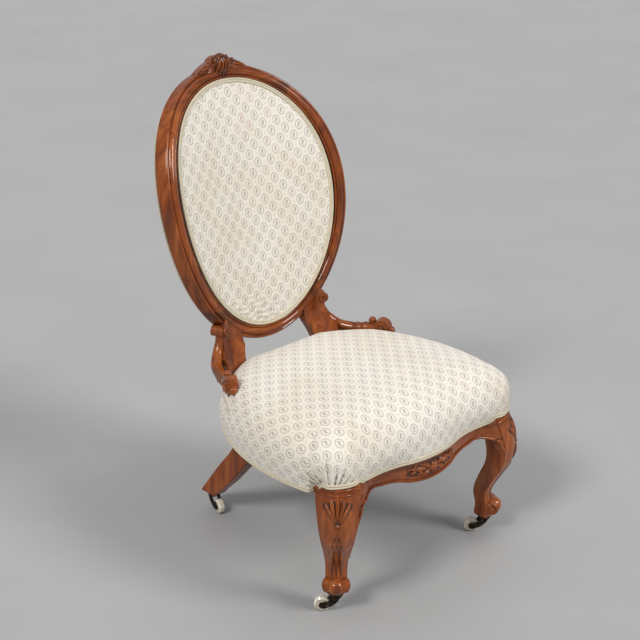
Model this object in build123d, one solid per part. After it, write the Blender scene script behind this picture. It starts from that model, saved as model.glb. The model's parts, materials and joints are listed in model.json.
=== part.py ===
"""Upholstered drawing-room chair: oval padded back in a moulded walnut frame, sprung seat with a
serpentine front, cabriole front legs, raked back legs and porcelain-wheeled casters.

Millimetres. The sitter faces -Y, +X is to the right of someone who faces the chair, +Z is up, and the
origin is on the floor on the plane of symmetry, near the middle of the four casters.
"""

import os
from math import asin, cos, pi, radians, sin, sqrt

from build123d import *

# Floor plan: where the four caster pivots stand
FRONT_TRACK = 430.0
BACK_TRACK = 256.0
FRONT_PIVOT_Y = -231.0
BACK_PIVOT_Y = 222.0

# Heights above the floor
FOOT_HEIGHT = 40.0  # underside of the legs, on top of the caster plates
LEG_HEIGHT = 218.0  # from the foot to the underside of the hidden seat rails
RAIL_BASE = FOOT_HEIGHT + LEG_HEIGHT
RAIL_HEIGHT = 60.0
RAIL_TOP = RAIL_BASE + RAIL_HEIGHT
SHOW_LAP = 8.0  # the polished front rail laps this far up the hidden ones, and the cloth begins there
SHOW_TOP = RAIL_BASE + SHOW_LAP
KNEE_LAP = 18.0  # and the polished knee of a front leg this far
LEG_TOP = RAIL_BASE + KNEE_LAP

# Seat outline in plan, at the foot of the upholstery
FRONT_OVERHANG = 31.0  # of the seat past the front pivots
SIDE_OVERHANG = 47.0
SEAT_FRONT = FRONT_OVERHANG - FRONT_PIVOT_Y  # mean line of the serpentine front
SEAT_HALF_WIDTH = FRONT_TRACK / 2 + SIDE_OVERHANG
SEAT_WAVE = 10.0  # depth of the serpentine each way
SEAT_WAVE_HALF = 68.0  # half length of its middle swell
SEAT_CORNER = 57.0
SEAT_SIDE_SWELL = 4.0  # the sides stand out this far past the front corners
SEAT_BACK = 160.0
SEAT_BACK_HALF = 105.0  # half length of the straight back edge
SEAT_HIP_IN = 50.0  # where the side turns in: from the widest line
SEAT_HIP_ALONG = 72.0  # and from the back edge
SEAT_HIP_ROUND = 5.0  # how far the turn swells out of its chord
SEAT_MIDDLE_Y = -56.0  # the outline is scaled about this point
SEAT_CROWN = 66.0  # rise of the stuffed seat above the rails
BULGE_SCALE = 1.038  # the stuffing swells out this much
BULGE_HEIGHT = 46.0  # and is widest this far above the underside of the rails
CROWN_FLATNESS = 0.33
CROWN_TURNS = (0.0, 14.0, 28.0, 42.0, 55.0, 67.0, 77.0, 85.0)  # degrees up the crown's curve
WELL_SCALE = 0.78  # hollow under the stuffing, over the springs
KNEE_STEP = 26.0  # the cloth rises over the legs this far behind the front rail
SHOW_STEP = 8.0  # and over the polished rail this far behind it
COVER_THICKNESS = 6.0  # wadding and cloth down the outside of the rails
RAIL_THICKNESS = 29.0
CLEARANCE = 0.3

# Cabriole front leg: height above the foot, side of the square, outward reach along the diagonal
LEG_STATIONS = (
    (0.0, 32.0, 0.0),
    (30.0, 32.0, 0.0),
    (48.0, 31.5, -4.0),
    (60.0, 32.5, -3.5),
    (75.0, 35.0, 1.5),
    (90.0, 38.0, 9.0),
    (109.0, 42.0, 20.0),
    (127.0, 46.0, 27.5),
    (150.0, 51.0, 30.5),
    (172.0, 55.0, 29.0),
    (200.0, 59.0, 21.0),
    (222.0, 61.0, 12.0),
    (LEG_TOP - FOOT_HEIGHT, 58.0, 6.0),
)
KNEE_ROUND = 0.62  # share of the side that the rounded outer corner takes
ARRIS = 4.0
POST_SIDE = 39.0
TOE_RADIUS = 16.0
TOE_REACH = 18.0
TOE_HEIGHT = 22.0
VOLUTE_RADIUS = 13.0
VOLUTE_LENGTH = 46.0
VOLUTE_REACH = 13.0
VOLUTE_EYE = 6.0

# Raked back leg: height above the foot, distance of its middle from the caster pivot, depth front to back
BACK_LEG_WIDTH = 34.0
BACK_LEG_STATIONS = (
    (0.0, 0.0, 44.0),
    (34.0, -28.0, 52.0),
    (67.0, -55.0, 58.0),
    (100.0, -82.0, 59.0),
    (132.0, -105.0, 57.0),
    (180.0, -117.0, 52.0),
)
BACK_POST_DEPTH = 50.0

# Front rail, from its middle to one leg
RAIL_DROP = 46.0  # depth of the polished face at its middle
RAIL_ARCH = 29.0  # and at the arches beside it
DROP_HALF = 60.0
ARCH_X = 124.0
ARCH_SAG = 3.0  # the ogee beside the drop hangs this far below the arch at its middle
RAIL_SPRING_X = FRONT_TRACK / 2 - 11.0  # where the arch meets the leg
RAIL_SPRING = 49.0
SPRING_EASE_X = 20.0  # the curve into the leg passes this far from it
SPRING_EASE = 5.0  # and this far below the arch
RAIL_SETBACK = 3.0
RAIL_BACK_Y = FRONT_PIVOT_Y + RAIL_SETBACK

# Glue blocks in the corners of the seat frame
BLOCK_INSET = 4.0
FRONT_BLOCK = 76.0
FRONT_BLOCK_LAP = 12.0  # past the caster pivot
BACK_BLOCK_WIDTH = 30.0
BACK_BLOCK_DEPTH = 46.0

# Oval back
BACK_HALF_WIDTH = 227.0
BACK_HALF_HEIGHT = 279.0
BACK_EGG = 0.06
BACK_EGG_SQUARE = 0.02
BACK_BOW = 470.0  # plan radius of the hollow back
BACK_RECLINE = 16.5
BACK_SETBACK = 71.7  # of the oval's middle behind the supports
BACK_RISE = 322.1  # and above the seat rails
FRAME_WIDTH = 27.0
FRAME_THICKNESS = 29.0
HIND_ROUND = 6.0
FACE_ROUND = 4.0
GROOVE_WIDTH = 2.5
GROOVE_DEPTH = 1.0
TORUS_RISE = 7.5
BEAD_WIDTH = 6.0
BEAD_RISE = 6.0
BEAD_FOOT = 3.5
LEDGE_WIDTH = 14.0
LEDGE_DEPTH = 5.0
JOINT_ANGLES = (50.0, 130.0, 222.0, 318.0)
SECTIONS_PER_RAIL = 9
DOWEL_DIAMETER = 10.0
DOWEL_LENGTH = 44.0

# Back upholstery
PAD_GAP = 1.5  # between the pad's edge and the frame's inner bead
PAD_EDGE = 6.0
PAD_CROWN = 16.0
WEB_THICKNESS = 2.0
COVER_STAND_OFF = 2.4  # room behind the flat backs of the rails for the bowed outside cover
COVER_INSET = 8.0
PAD_SECTIONS = (-0.985, -0.9, -0.72, -0.45, -0.1, 0.25, 0.55, 0.78, 0.92, 0.985)

# Crest
CREST_HALF = 62.0
CREST_FALL = 8.0  # its ends lie this far below the top of the oval
CREST_RISE = 23.0
CREST_SHOULDER_X = 22.0
CREST_SHOULDER = 12.5
CREST_HOLLOW_X = 38.0
CREST_HOLLOW = 6.0
CREST_TONGUE = 16.0  # reach down over the face of the rail
CREST_PROUD = 6.0
CREST_DEPTH = 23.0
FLOWER_RADIUS = 20.0
FLOWER_PROUD = 14.0
FLOWER_RISE = 4.5

# Back supports and arms, right-hand side
SUPPORT_THICKNESS = 20.0
SUPPORT_SETBACK = 25.0  # of the upright part behind the seat's back edge
SUPPORT_Y = SEAT_BACK + SUPPORT_SETBACK
LEAN_HEIGHT = 80.0  # the board leans back up to here and stands upright above
SUPPORT_LEVEL = RAIL_TOP + LEAN_HEIGHT
SUPPORT_LEAN = 0.5
SUPPORT_INNER_X = 82.0
BEND_X = 118.0
BEND_RADIUS = 60.0
ARM_SPLAY = 65.9  # degrees of the bend
ARM_INSET = 50.0  # of the rosette inside the widest line of the seat
ARM_END_X = SEAT_HALF_WIDTH - ARM_INSET
ARM_REACH = 93.0  # of the rosette forward of the seat's back edge
ARM_END_Y = SEAT_BACK - ARM_REACH
ARM_RADIUS = 9.5
FLANK_X = 143.0
FLANK_RISE = 103.0
FLANK_Z = RAIL_TOP + FLANK_RISE
FLANK_RADIUS = 11.0
FLANK_PROUD = 3.0
ROSETTE_RADIUS = 18.0
ROSETTE_THICKNESS = 22.0
ROSETTE_RISE = 47.0
ROSETTE_Z = RAIL_TOP + ROSETTE_RISE
BUD_RADIUS = 8.0
BUD_SETBACK = 22.0
BUD_RISE = 12.0
LOBE_RADIUS = 9.0
LOBE_REACH = 19.0
LOBE_FALL = 5.0
FIN_LENGTH = 40.0
FIN_THICKNESS = 12.0
FIN_SETBACK = 14.0

# Outline of a support from the front: offset from SUPPORT_INNER_X, height above the seat rails
SUPPORT_OUTER_EDGE = ((66.0, 0.0), (72.0, 52.0), (59.0, 76.0), (57.0, FLANK_RISE), (51.0, FLANK_RISE + 22.0))
SUPPORT_INNER_EDGE = ((4.0, FLANK_RISE + 22.0), (4.0, 62.0), (14.0, 34.0), (16.0, 0.0))

# Middle line of the rolled edge: turn round the bend in radians, then share of the straight run, with heights
ROLL_ON_BEND = ((0.36, 92.0), (0.42, 74.0), (0.60, 55.0), (0.88, 40.0))
ROLL_ON_RUN = ((0.0, 33.0), (0.34, 31.0), (0.66, 38.0), (0.9, ROSETTE_RISE))

# Seat filling
WEB_WIDTH = 44.0
LONG_WEBS = 4  # front to back
CROSS_WEBS = 5
WEB_GAP = 5.0  # between the outer webs and the back legs
WEB_PITCH = (BACK_TRACK - BACK_LEG_WIDTH - WEB_WIDTH - 2 * WEB_GAP) / (LONG_WEBS - 1)
WEB_INSET = 6.0  # the webs and the cloth under them end this far inside the rails
SPRING_RADIUS = 38.0
SPRING_WAIST = 25.0
SPRING_WALL = 0.8  # spreads the wire's mass over the envelope
SPRING_HEIGHT = 87.0
HESSIAN_THICKNESS = 2.0
BOTTOMING_THICKNESS = 1.0

# Casters
WHEEL_RADIUS = 15.0
WHEEL_WIDTH = 14.0
CASTER_TRAIL = 26.0
PLATE_RADIUS = 15.0
PLATE_THICKNESS = 3.0
PIN_DIAMETER = 7.0
AXLE_DIAMETER = 5.0
AXLE_END = 1.0  # what stands out of each cheek
RUNNING_CLEARANCE = 0.05
SIDE_PLAY = 0.6
CHEEK_THICKNESS = 2.6
HEAD_RADIUS = 12.0
HEAD_HEIGHT = 5.7
RIVET_RADIUS = 5.5
RIVET_HEIGHT = 4.0
BOSS_RADIUS = 6.0
NECK_HALF = 9.0
NECK_HOLLOW = 3.0
NECK_DROP = 6.0
HORN_SWEEP = 6.5  # the cheeks' lower edge passes this far behind the pivot
HUB_WALL = 2.6
DISH_DEPTH = 2.0
DISH_SLOPE = 1.0
RIM_WIDTH = 3.2
TREAD_EASE = 2.8

# How boxes and cylinders stand on their origin
ON_BASE = (Align.CENTER, Align.CENTER, Align.MIN)
FROM_FRONT = (Align.CENTER, Align.MIN, Align.MIN)


def save(name, *solids):
    """Write one node, as a single solid or as a group of separate ones."""
    pieces = [solid for shape in solids for solid in shape.solids()]
    shape = pieces[0] if len(pieces) == 1 else Compound(pieces)
    export_step(shape, os.path.join("parts", name + ".step"))


def other_side(shape):
    """The same piece on the other side of the plane of symmetry."""
    return mirror(shape, about=Plane.YZ)


def dome(radius, height):
    """Spherical cap that stands on the XY plane."""
    ball = (radius**2 + height**2) / (2 * height)
    lean = asin(radius / ball) / 2
    profile = make_face(
        [
            Line((0, 0), (radius, 0)),
            ThreePointArc((radius, 0), (ball * sin(lean), height - ball + ball * cos(lean)), (0, height)),
            Line((0, height), (0, 0)),
        ]
    )
    return revolve(Plane.XZ * profile, Axis.Z)


def prism(sketch, low, high):
    """A plan outline raised from one level to another."""
    return extrude(Pos(0, 0, low) * sketch, amount=high - low, dir=(0, 0, 1))


# Seat outline
def seat_outline(scale, drop=0.0):
    """Plan outline of the seat, scaled about its middle, at one level."""
    centre = SEAT_HALF_WIDTH - SEAT_CORNER
    corner_y = SEAT_CORNER - SEAT_FRONT
    diagonal = SEAT_CORNER / sqrt(2)
    crest, hollow = -SEAT_FRONT - SEAT_WAVE, SEAT_WAVE - SEAT_FRONT
    hip = Vector(SEAT_HALF_WIDTH - SEAT_HIP_IN, SEAT_BACK - SEAT_HIP_ALONG)
    back_end = Vector(SEAT_BACK_HALF, SEAT_BACK)
    chord = back_end - hip
    swell = (hip + back_end) / 2 + Vector(chord.Y, -chord.X).normalized() * SEAT_HIP_ROUND
    side = (SEAT_HALF_WIDTH + SEAT_SIDE_SWELL, (corner_y + hip.Y) / 2 - SEAT_SIDE_SWELL)
    half = [
        ((SEAT_WAVE_HALF, -SEAT_FRONT), ((SEAT_WAVE_HALF + centre) / 2, hollow)),
        ((centre, -SEAT_FRONT), (centre + diagonal, corner_y - diagonal)),
        ((SEAT_HALF_WIDTH, corner_y), side),
        ((hip.X, hip.Y), (swell.X, swell.Y)),
        ((back_end.X, back_end.Y), None),
    ]

    def place(x, y):
        return (x * scale, SEAT_MIDDLE_Y + (y - SEAT_MIDDLE_Y) * scale)

    edges = [ThreePointArc(place(-half[0][0][0], half[0][0][1]), place(0, crest), place(*half[0][0]))]
    for (start, middle), (end, _) in zip(half, half[1:]):
        edges.append(ThreePointArc(place(*start), place(*middle), place(*end)))
    edges.append(Line(place(SEAT_BACK_HALF, SEAT_BACK), place(-SEAT_BACK_HALF, SEAT_BACK)))
    for (start, middle), (end, _) in reversed(list(zip(half, half[1:]))):
        turned = [place(-x, y) for x, y in (end, middle, start)]
        edges.append(ThreePointArc(*turned))
    return Pos(0, 0, drop) * make_face(edges)


RAIL_SCALE = 1.0 - COVER_THICKNESS / SEAT_HALF_WIDTH
INNER_SCALE = RAIL_SCALE - RAIL_THICKNESS / SEAT_HALF_WIDTH
WEB_SCALE = RAIL_SCALE - WEB_INSET / SEAT_HALF_WIDTH
WEB_BASE = RAIL_BASE - 2 * WEB_THICKNESS
BACK_RAIL_INNER = SEAT_MIDDLE_Y + (SEAT_BACK - SEAT_MIDDLE_Y) * INNER_SCALE
BACK_RAIL_OUTER = SEAT_MIDDLE_Y + (SEAT_BACK - SEAT_MIDDLE_Y) * RAIL_SCALE


# Legs
def rounded_square(side, outer_radius, edge_radius):
    """Leg section: the corner towards +X -Y is rounded off, the other three only eased."""
    h, r, e = side / 2, outer_radius, edge_radius
    k = 1 - 1 / sqrt(2)
    return make_face(
        [
            ThreePointArc((h - r, -h), (h - r * k, -h + r * k), (h, -h + r)),
            Line((h, -h + r), (h, h - e)),
            ThreePointArc((h, h - e), (h - e * k, h - e * k), (h - e, h)),
            Line((h - e, h), (-h + e, h)),
            ThreePointArc((-h + e, h), (-h + e * k, h - e * k), (-h, h - e)),
            Line((-h, h - e), (-h, -h + e)),
            ThreePointArc((-h, -h + e), (-h + e * k, -h + e * k), (-h + e, -h)),
            Line((-h + e, -h), (h - r, -h)),
        ]
    )


def front_leg():
    """Cabriole leg with a rounded knee, a scrolled toe and a square post inside the upholstery."""
    pivot = Vector(FRONT_TRACK / 2, FRONT_PIVOT_Y, FOOT_HEIGHT)
    outward = Vector(1, -1, 0).normalized()
    sections = []
    for height, side, reach in LEG_STATIONS:
        spot = pivot + outward * reach + Vector(0, 0, height)
        sections.append(Pos(*spot) * rounded_square(side, side * KNEE_ROUND, ARRIS))
    leg = loft(sections)
    toe = pivot + outward * TOE_REACH + Vector(0, 0, TOE_HEIGHT)
    scroll = pivot + outward * VOLUTE_REACH + Vector(0, 0, TOE_HEIGHT)
    across = Plane(origin=scroll, z_dir=(1, 1, 0))
    leg += Pos(*toe) * Sphere(TOE_RADIUS)
    leg += across * Cylinder(VOLUTE_RADIUS, VOLUTE_LENGTH)
    leg += across * Cylinder(VOLUTE_EYE, VOLUTE_LENGTH + VOLUTE_EYE)
    top_reach = LEG_STATIONS[-1][2] / sqrt(2)
    inner_x = pivot.X + top_reach - LEG_STATIONS[-1][1] / 2
    inner_y = pivot.Y - top_reach + LEG_STATIONS[-1][1] / 2
    post = Pos(inner_x, inner_y, RAIL_TOP) * Box(
        POST_SIDE, POST_SIDE, RAIL_TOP - LEG_TOP + ARRIS, align=(Align.MIN, Align.MAX, Align.MAX)
    )
    return leg + post


def back_section(width, depth):
    """Back leg section with eased arrises."""
    return RectangleRounded(width, depth, ARRIS)


def back_leg():
    """Sabre-curved back leg, with a straight post that stands against the inside of the back rail."""
    x = BACK_TRACK / 2
    sections = []
    for height, shift, depth in BACK_LEG_STATIONS:
        spot = Pos(x, BACK_PIVOT_Y + shift, FOOT_HEIGHT + height)
        sections.append(spot * back_section(BACK_LEG_WIDTH, depth))
    post_y = BACK_RAIL_INNER - BACK_POST_DEPTH / 2
    head = Pos(x, post_y, RAIL_BASE) * back_section(BACK_LEG_WIDTH, BACK_POST_DEPTH)
    return loft(sections + [head]) + extrude(head, amount=RAIL_HEIGHT, dir=(0, 0, 1))


# Seat rails
def front_rail(leg):
    """Serpentine front rail with a shaped lower edge, and the tacking rail that rises behind the cloth."""
    reach = SEAT_HALF_WIDTH
    front_band = Pos(0, RAIL_BACK_Y, 0) * Rectangle(2 * reach, reach, align=(Align.CENTER, Align.MAX))
    low = SHOW_TOP - RAIL_SPRING - ARRIS
    face = prism(seat_outline(1.0) & front_band, low, SHOW_TOP)
    drop, arch = SHOW_TOP - RAIL_DROP, SHOW_TOP - RAIL_ARCH
    shoulder = (2 * drop + arch) / 3
    half = [
        ((DROP_HALF, shoulder), ((DROP_HALF + ARCH_X) / 2, arch - ARCH_SAG)),
        ((ARCH_X, arch), (RAIL_SPRING_X - SPRING_EASE_X, arch - SPRING_EASE)),
        ((RAIL_SPRING_X, SHOW_TOP - RAIL_SPRING), None),
    ]
    edges = [ThreePointArc((-DROP_HALF, shoulder), (0, drop), (DROP_HALF, shoulder))]
    for side in (1, -1):
        for (start, middle), (end, _) in zip(half, half[1:]):
            edges.append(ThreePointArc(*[(side * x, z) for x, z in (start, middle, end)]))
        edges.append(Line((side * RAIL_SPRING_X, SHOW_TOP - RAIL_SPRING), (side * reach, half[-1][0][1])))
        edges.append(Line((side * reach, half[-1][0][1]), (side * reach, SHOW_TOP)))
    edges.append(Line((-reach, SHOW_TOP), (reach, SHOW_TOP)))
    shape = Plane.XZ * make_face(edges)
    rail = face & extrude(shape, amount=2 * reach, both=True)
    rail += prism(seat_outline(RAIL_SCALE) & front_band, SHOW_TOP, RAIL_TOP)
    return solid_between(rail - leg - other_side(leg), (0, RAIL_BACK_Y))


def solid_between(shape, spot):
    """The one solid of a cut shape whose middle lies nearest to a point in plan."""
    target = Vector(spot[0], spot[1], RAIL_TOP)
    return min(shape.solids(), key=lambda solid: (solid.center() - target).length)


def rail_ring():
    """Band that the hidden side and back rails are sawn from."""
    return prism(seat_outline(RAIL_SCALE) - seat_outline(INNER_SCALE), RAIL_BASE, RAIL_TOP)


def side_rail(ring, leg, hind):
    """Curved beech side rail from the front leg's post to the back rail."""
    size = 2 * SEAT_HALF_WIDTH
    back_end = Pos(0, BACK_RAIL_INNER, 0) * Box(size, size, size, align=(Align.MIN, Align.MAX, Align.MIN))
    front_end = Pos(0, RAIL_BACK_Y, 0) * Box(size, size, size, align=(Align.MIN, Align.MIN, Align.MIN))
    return solid_between((ring & back_end & front_end) - leg - hind, (SEAT_HALF_WIDTH, 0))


def back_rail(ring):
    """Beech back rail, sawn to the curve of the seat's back."""
    size = 2 * SEAT_HALF_WIDTH
    behind = Pos(0, BACK_RAIL_INNER, 0) * Box(2 * size, size, size, align=FROM_FRONT)
    return ring & behind


def corner_blocks(front, side, back, leg, hind):
    """Glue blocks in the corners of the seat frame, right-hand side."""
    low, high = RAIL_BASE + BLOCK_INSET, RAIL_TOP - BLOCK_INSET
    outer_x = FRONT_TRACK / 2 + FRONT_BLOCK_LAP
    corner = (outer_x, RAIL_BACK_Y)
    triangle = Polyline(
        (outer_x - FRONT_BLOCK, RAIL_BACK_Y), corner, (outer_x, RAIL_BACK_Y + FRONT_BLOCK), close=True
    )
    inner_x = (BACK_TRACK + BACK_LEG_WIDTH) / 2
    oblong = Pos(inner_x, BACK_RAIL_INNER, 0) * Rectangle(
        BACK_BLOCK_WIDTH, BACK_BLOCK_DEPTH, align=(Align.MIN, Align.MAX)
    )
    inside = seat_outline(INNER_SCALE)
    first = prism(make_face(triangle), low, high) - front - side - leg
    second = prism(oblong & inside, low, high) - side - back - hind
    return [max(block.solids(), key=lambda solid: solid.volume) for block in (first, second)]


# Oval back frame
RECLINE = radians(BACK_RECLINE)
UP_BACK = Vector(0, sin(RECLINE), cos(RECLINE))
BACK_FACE = Vector(0, -cos(RECLINE), sin(RECLINE))
BACK_CENTRE = Vector(0, SUPPORT_Y + BACK_SETBACK, RAIL_TOP + BACK_RISE)


def bow(x):
    """How far the hollow back stands forward of its middle."""
    return BACK_BOW - sqrt(BACK_BOW**2 - x**2)


def back_point(x, v, proud=0.0):
    """Point of the back's face, or in front of it along the local normal."""
    turn = asin(x / BACK_BOW)
    normal = BACK_FACE * cos(turn) - Vector(1, 0, 0) * sin(turn)
    return BACK_CENTRE + UP_BACK * v + Vector(x, 0, 0) + BACK_FACE * bow(x) + normal * proud


def oval(t):
    """Outer edge of the oval in the back's own coordinates, t in radians from the right."""
    egg = 1 + BACK_EGG * sin(t) + BACK_EGG_SQUARE * sin(t) ** 2
    return BACK_HALF_WIDTH * cos(t) * egg, BACK_HALF_HEIGHT * sin(t)


def oval_plane(t):
    """Section plane of the oval rail: X outward, Y to the front."""
    x, v = oval(t)
    step = 1e-4
    tangent = (back_point(*oval(t + step)) - back_point(*oval(t - step))).normalized()
    turn = asin(x / BACK_BOW)
    normal = BACK_FACE * cos(turn) - Vector(1, 0, 0) * sin(turn)
    return Plane(origin=back_point(x, v), x_dir=tangent.cross(normal), z_dir=tangent * -1)


def moulding():
    """Section of the oval rail: rounded back, outer bead, torus, inner bead and the ledge for the pad."""
    back, inner, ledge = -FRAME_THICKNESS, -FRAME_WIDTH, -FRAME_WIDTH - LEDGE_WIDTH
    eased = 1 - 1 / sqrt(2)
    groove, bead = (-FACE_ROUND - GROOVE_WIDTH, -GROOVE_DEPTH), (inner + BEAD_WIDTH, BEAD_FOOT)
    return make_face(
        [
            Line((ledge, back), (-HIND_ROUND, back)),
            ThreePointArc(
                (-HIND_ROUND, back), (-HIND_ROUND * eased, back + HIND_ROUND * eased), (0, back + HIND_ROUND)
            ),
            Line((0, back + HIND_ROUND), (0, -FACE_ROUND)),
            ThreePointArc((0, -FACE_ROUND), (-FACE_ROUND * eased, -FACE_ROUND * eased), (-FACE_ROUND, 0)),
            Line((-FACE_ROUND, 0), groove),
            ThreePointArc(groove, ((groove[0] + bead[0]) / 2, TORUS_RISE), bead),
            ThreePointArc(bead, (inner + BEAD_WIDTH / 2, BEAD_RISE), (inner, BEAD_FOOT)),
            Line((inner, BEAD_FOOT), (inner, -LEDGE_DEPTH)),
            Line((inner, -LEDGE_DEPTH), (ledge, -LEDGE_DEPTH)),
            Line((ledge, -LEDGE_DEPTH), (ledge, back)),
        ]
    )


def oval_rail(start, end):
    """One of the four rails of the oval, between two joints given in degrees."""
    step = (end - start) / (SECTIONS_PER_RAIL - 1)
    angles = [radians(start + step * index) for index in range(SECTIONS_PER_RAIL)]
    return loft([oval_plane(t) * moulding() for t in angles])


def frame_dowels():
    """One dowel across each joint of the oval."""
    middle = Pos(-FRAME_WIDTH / 2, -FRAME_THICKNESS / 2, 0) * Cylinder(DOWEL_DIAMETER / 2, DOWEL_LENGTH)
    return [oval_plane(radians(angle)) * middle for angle in JOINT_ANGLES]


def inset_half_width(v, inset):
    """Half width of the oval at one height, measured inside its outer edge."""
    low, high = -pi / 2, pi / 2
    for _ in range(50):
        t = (low + high) / 2
        x, height = inset_point(t, inset)
        low, high = (t, high) if height < v else (low, t)
    return x


def inset_point(t, inset):
    """Point a given distance inside the oval's outer edge, in the back's own coordinates."""
    step = 1e-4
    (x0, v0), (x1, v1) = oval(t - step), oval(t + step)
    length = sqrt((x1 - x0) ** 2 + (v1 - v0) ** 2)
    x, v = oval(t)
    return x - inset * (v1 - v0) / length, v + inset * (x1 - x0) / length


def back_sheet(inset, back, edge, crown):
    """Bowed oval layer of the back: its edge has parallel faces and its front swells towards the middle."""
    reach = BACK_HALF_HEIGHT - inset
    sections = []
    for share in PAD_SECTIONS:
        v = share * reach
        w = inset_half_width(v, inset)
        swell = crown * (1 - share**2) ** 0.5
        plane = Plane(origin=BACK_CENTRE + UP_BACK * v, x_dir=(1, 0, 0), z_dir=UP_BACK)
        hind_rim, front_rim = rim_point(w, back), rim_point(w, back + edge)
        hind_left, front_left = (-hind_rim[0], hind_rim[1]), (-front_rim[0], front_rim[1])
        sections.append(
            plane
            * make_face(
                [
                    ThreePointArc(hind_left, (0, -back), hind_rim),
                    Line(hind_rim, front_rim),
                    ThreePointArc(front_rim, (0, -back - edge - swell), front_left),
                    Line(front_left, hind_left),
                ]
            )
        )
    return loft(sections)


def rim_point(half_width, proud):
    """Edge of a back layer in its cross-section, where Y points to the rear."""
    turn = asin(half_width / BACK_BOW)
    radius = BACK_BOW - proud
    return radius * sin(turn), radius * cos(turn) - BACK_BOW


def crest(rail):
    """Carved cresting: a shouldered leaf spray with a flower head, seated on the top rail."""
    plane = Plane(origin=back_point(0, BACK_HALF_HEIGHT), x_dir=(1, 0, 0), z_dir=BACK_FACE)
    end, shoulder = (CREST_HALF, -CREST_FALL), (CREST_SHOULDER_X, CREST_SHOULDER)
    hollow = (CREST_HOLLOW_X, CREST_HOLLOW)
    edges = [ThreePointArc((-shoulder[0], shoulder[1]), (0, CREST_RISE), shoulder)]
    for side in (1, -1):
        curve = [(side * x, v) for x, v in (shoulder, hollow, end)]
        edges.append(ThreePointArc(*curve))
        edges.append(Line(curve[-1], (0, -CREST_TONGUE)))
    spray = extrude(plane * Pos(0, 0, CREST_PROUD) * make_face(edges), amount=-CREST_DEPTH)
    spray += plane * Pos(0, FLOWER_RISE, CREST_PROUD) * dome(FLOWER_RADIUS, FLOWER_PROUD)
    return max((spray - rail).solids(), key=lambda solid: solid.volume)


# Supports and arms
ARM_TURN = radians(ARM_SPLAY)


def arm_line(offset=0.0):
    """Plan line of the back support and the arm: straight behind the seat, a bend, then straight forward."""
    r = BEND_RADIUS + offset
    centre = (BEND_X, SUPPORT_Y - BEND_RADIUS)
    bend_end = (centre[0] + r * sin(ARM_TURN), centre[1] + r * cos(ARM_TURN))
    middle = (centre[0] + r * sin(ARM_TURN / 2), centre[1] + r * cos(ARM_TURN / 2))
    start = (SUPPORT_INNER_X, centre[1] + r)
    return start, (BEND_X, centre[1] + r), middle, bend_end


def bent_board(thickness, low, high):
    """Board bent to the plan line of the support: it leans back up to a level and then stands upright."""
    outer, inner = arm_line(thickness / 2), arm_line(-thickness / 2)
    face = make_face(
        [
            Line(outer[0], outer[1]),
            ThreePointArc(*outer[1:]),
            Line(outer[3], inner[3]),
            ThreePointArc(*inner[:0:-1]),
            Line(inner[1], inner[0]),
            Line(inner[0], outer[0]),
        ]
    )
    slope = Vector(0, SUPPORT_LEAN, 1)
    foot = Pos(0, (low - SUPPORT_LEVEL) * SUPPORT_LEAN, low) * face
    leaning = extrude(foot, amount=(SUPPORT_LEVEL - low) * slope.length, dir=slope)
    return leaning + prism(face, SUPPORT_LEVEL, high)


def arm_path():
    """Middle line of the rolled edge, from under the flank scroll to the rosette."""
    _, _, _, bend_end = arm_line()
    run = Vector(ARM_END_X - bend_end[0], ARM_END_Y - bend_end[1])
    centre = Vector(BEND_X, SUPPORT_Y - BEND_RADIUS)

    spots = [(centre + Vector(sin(turn), cos(turn)) * BEND_RADIUS, height) for turn, height in ROLL_ON_BEND]
    spots += [(Vector(*bend_end) + run * share, height) for share, height in ROLL_ON_RUN]
    return [Vector(spot.X, spot.Y, RAIL_TOP + height) for spot, height in spots]


ARM_JOINT = 2  # station of the path where the arm is scarfed to the support


def roll(first, last, radius):
    """Rolled edge between two stations of the arm's path."""
    path = arm_path()
    sections = []
    for index in range(first, last + 1):
        before, after = path[max(index - 1, 0)], path[min(index + 1, len(path) - 1)]
        sections.append(Plane(origin=path[index], x_dir=(0, 0, 1), z_dir=after - before) * Circle(radius))
    return loft(sections)


def back_support(stile, rail):
    """Board between the seat's back rail and the oval, with a scroll on its flank."""
    points = [(SUPPORT_INNER_X + x, RAIL_TOP + z) for x, z in SUPPORT_OUTER_EDGE + SUPPORT_INNER_EDGE]
    foot, knee, waist, flank, top, inner_top, hollow_top, hollow, inner_foot = points
    outline = make_face(
        [
            Line(foot, knee),
            ThreePointArc(knee, waist, flank),
            Line(flank, top),
            Line(top, inner_top),
            Line(inner_top, hollow_top),
            ThreePointArc(hollow_top, hollow, inner_foot),
            Line(inner_foot, foot),
        ]
    )
    board = bent_board(SUPPORT_THICKNESS, RAIL_TOP, top[1])
    board &= extrude(Plane.XZ * outline, amount=2 * SEAT_BACK, both=True)
    board += roll(0, ARM_JOINT, ARM_RADIUS)
    turn = asin((FLANK_X - BEND_X) / BEND_RADIUS)
    eye = Plane(origin=(FLANK_X, arm_path()[0].Y, FLANK_Z), z_dir=(-sin(turn), -cos(turn), 0))
    board += eye * Cylinder(FLANK_RADIUS, SUPPORT_THICKNESS + 2 * FLANK_PROUD)
    board = board - stile - rail
    return max(board.solids(), key=lambda solid: solid.volume)


def arm_direction():
    """Level direction of the straight, forward part of the arm."""
    path = arm_path()
    run = path[-1] - path[ARM_JOINT + 2]
    return Vector(run.X, run.Y, 0).normalized()


def fin_plane():
    """Plan plane under the rosette, on top of the side rail, with X along the arm."""
    return Plane(origin=(ARM_END_X, ARM_END_Y, RAIL_TOP), x_dir=arm_direction(), z_dir=(0, 0, 1))


def arm_room():
    """Slot in the stuffing that the rosette and the fin stand in."""
    length, gap = FIN_LENGTH + 2 * ROSETTE_RADIUS, 2 * CLEARANCE
    slot = Box(length, ROSETTE_THICKNESS + 2 * gap, SEAT_CROWN, align=ON_BASE)
    return fin_plane() * Pos(-FIN_SETBACK / 2, 0, 0) * slot


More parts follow.
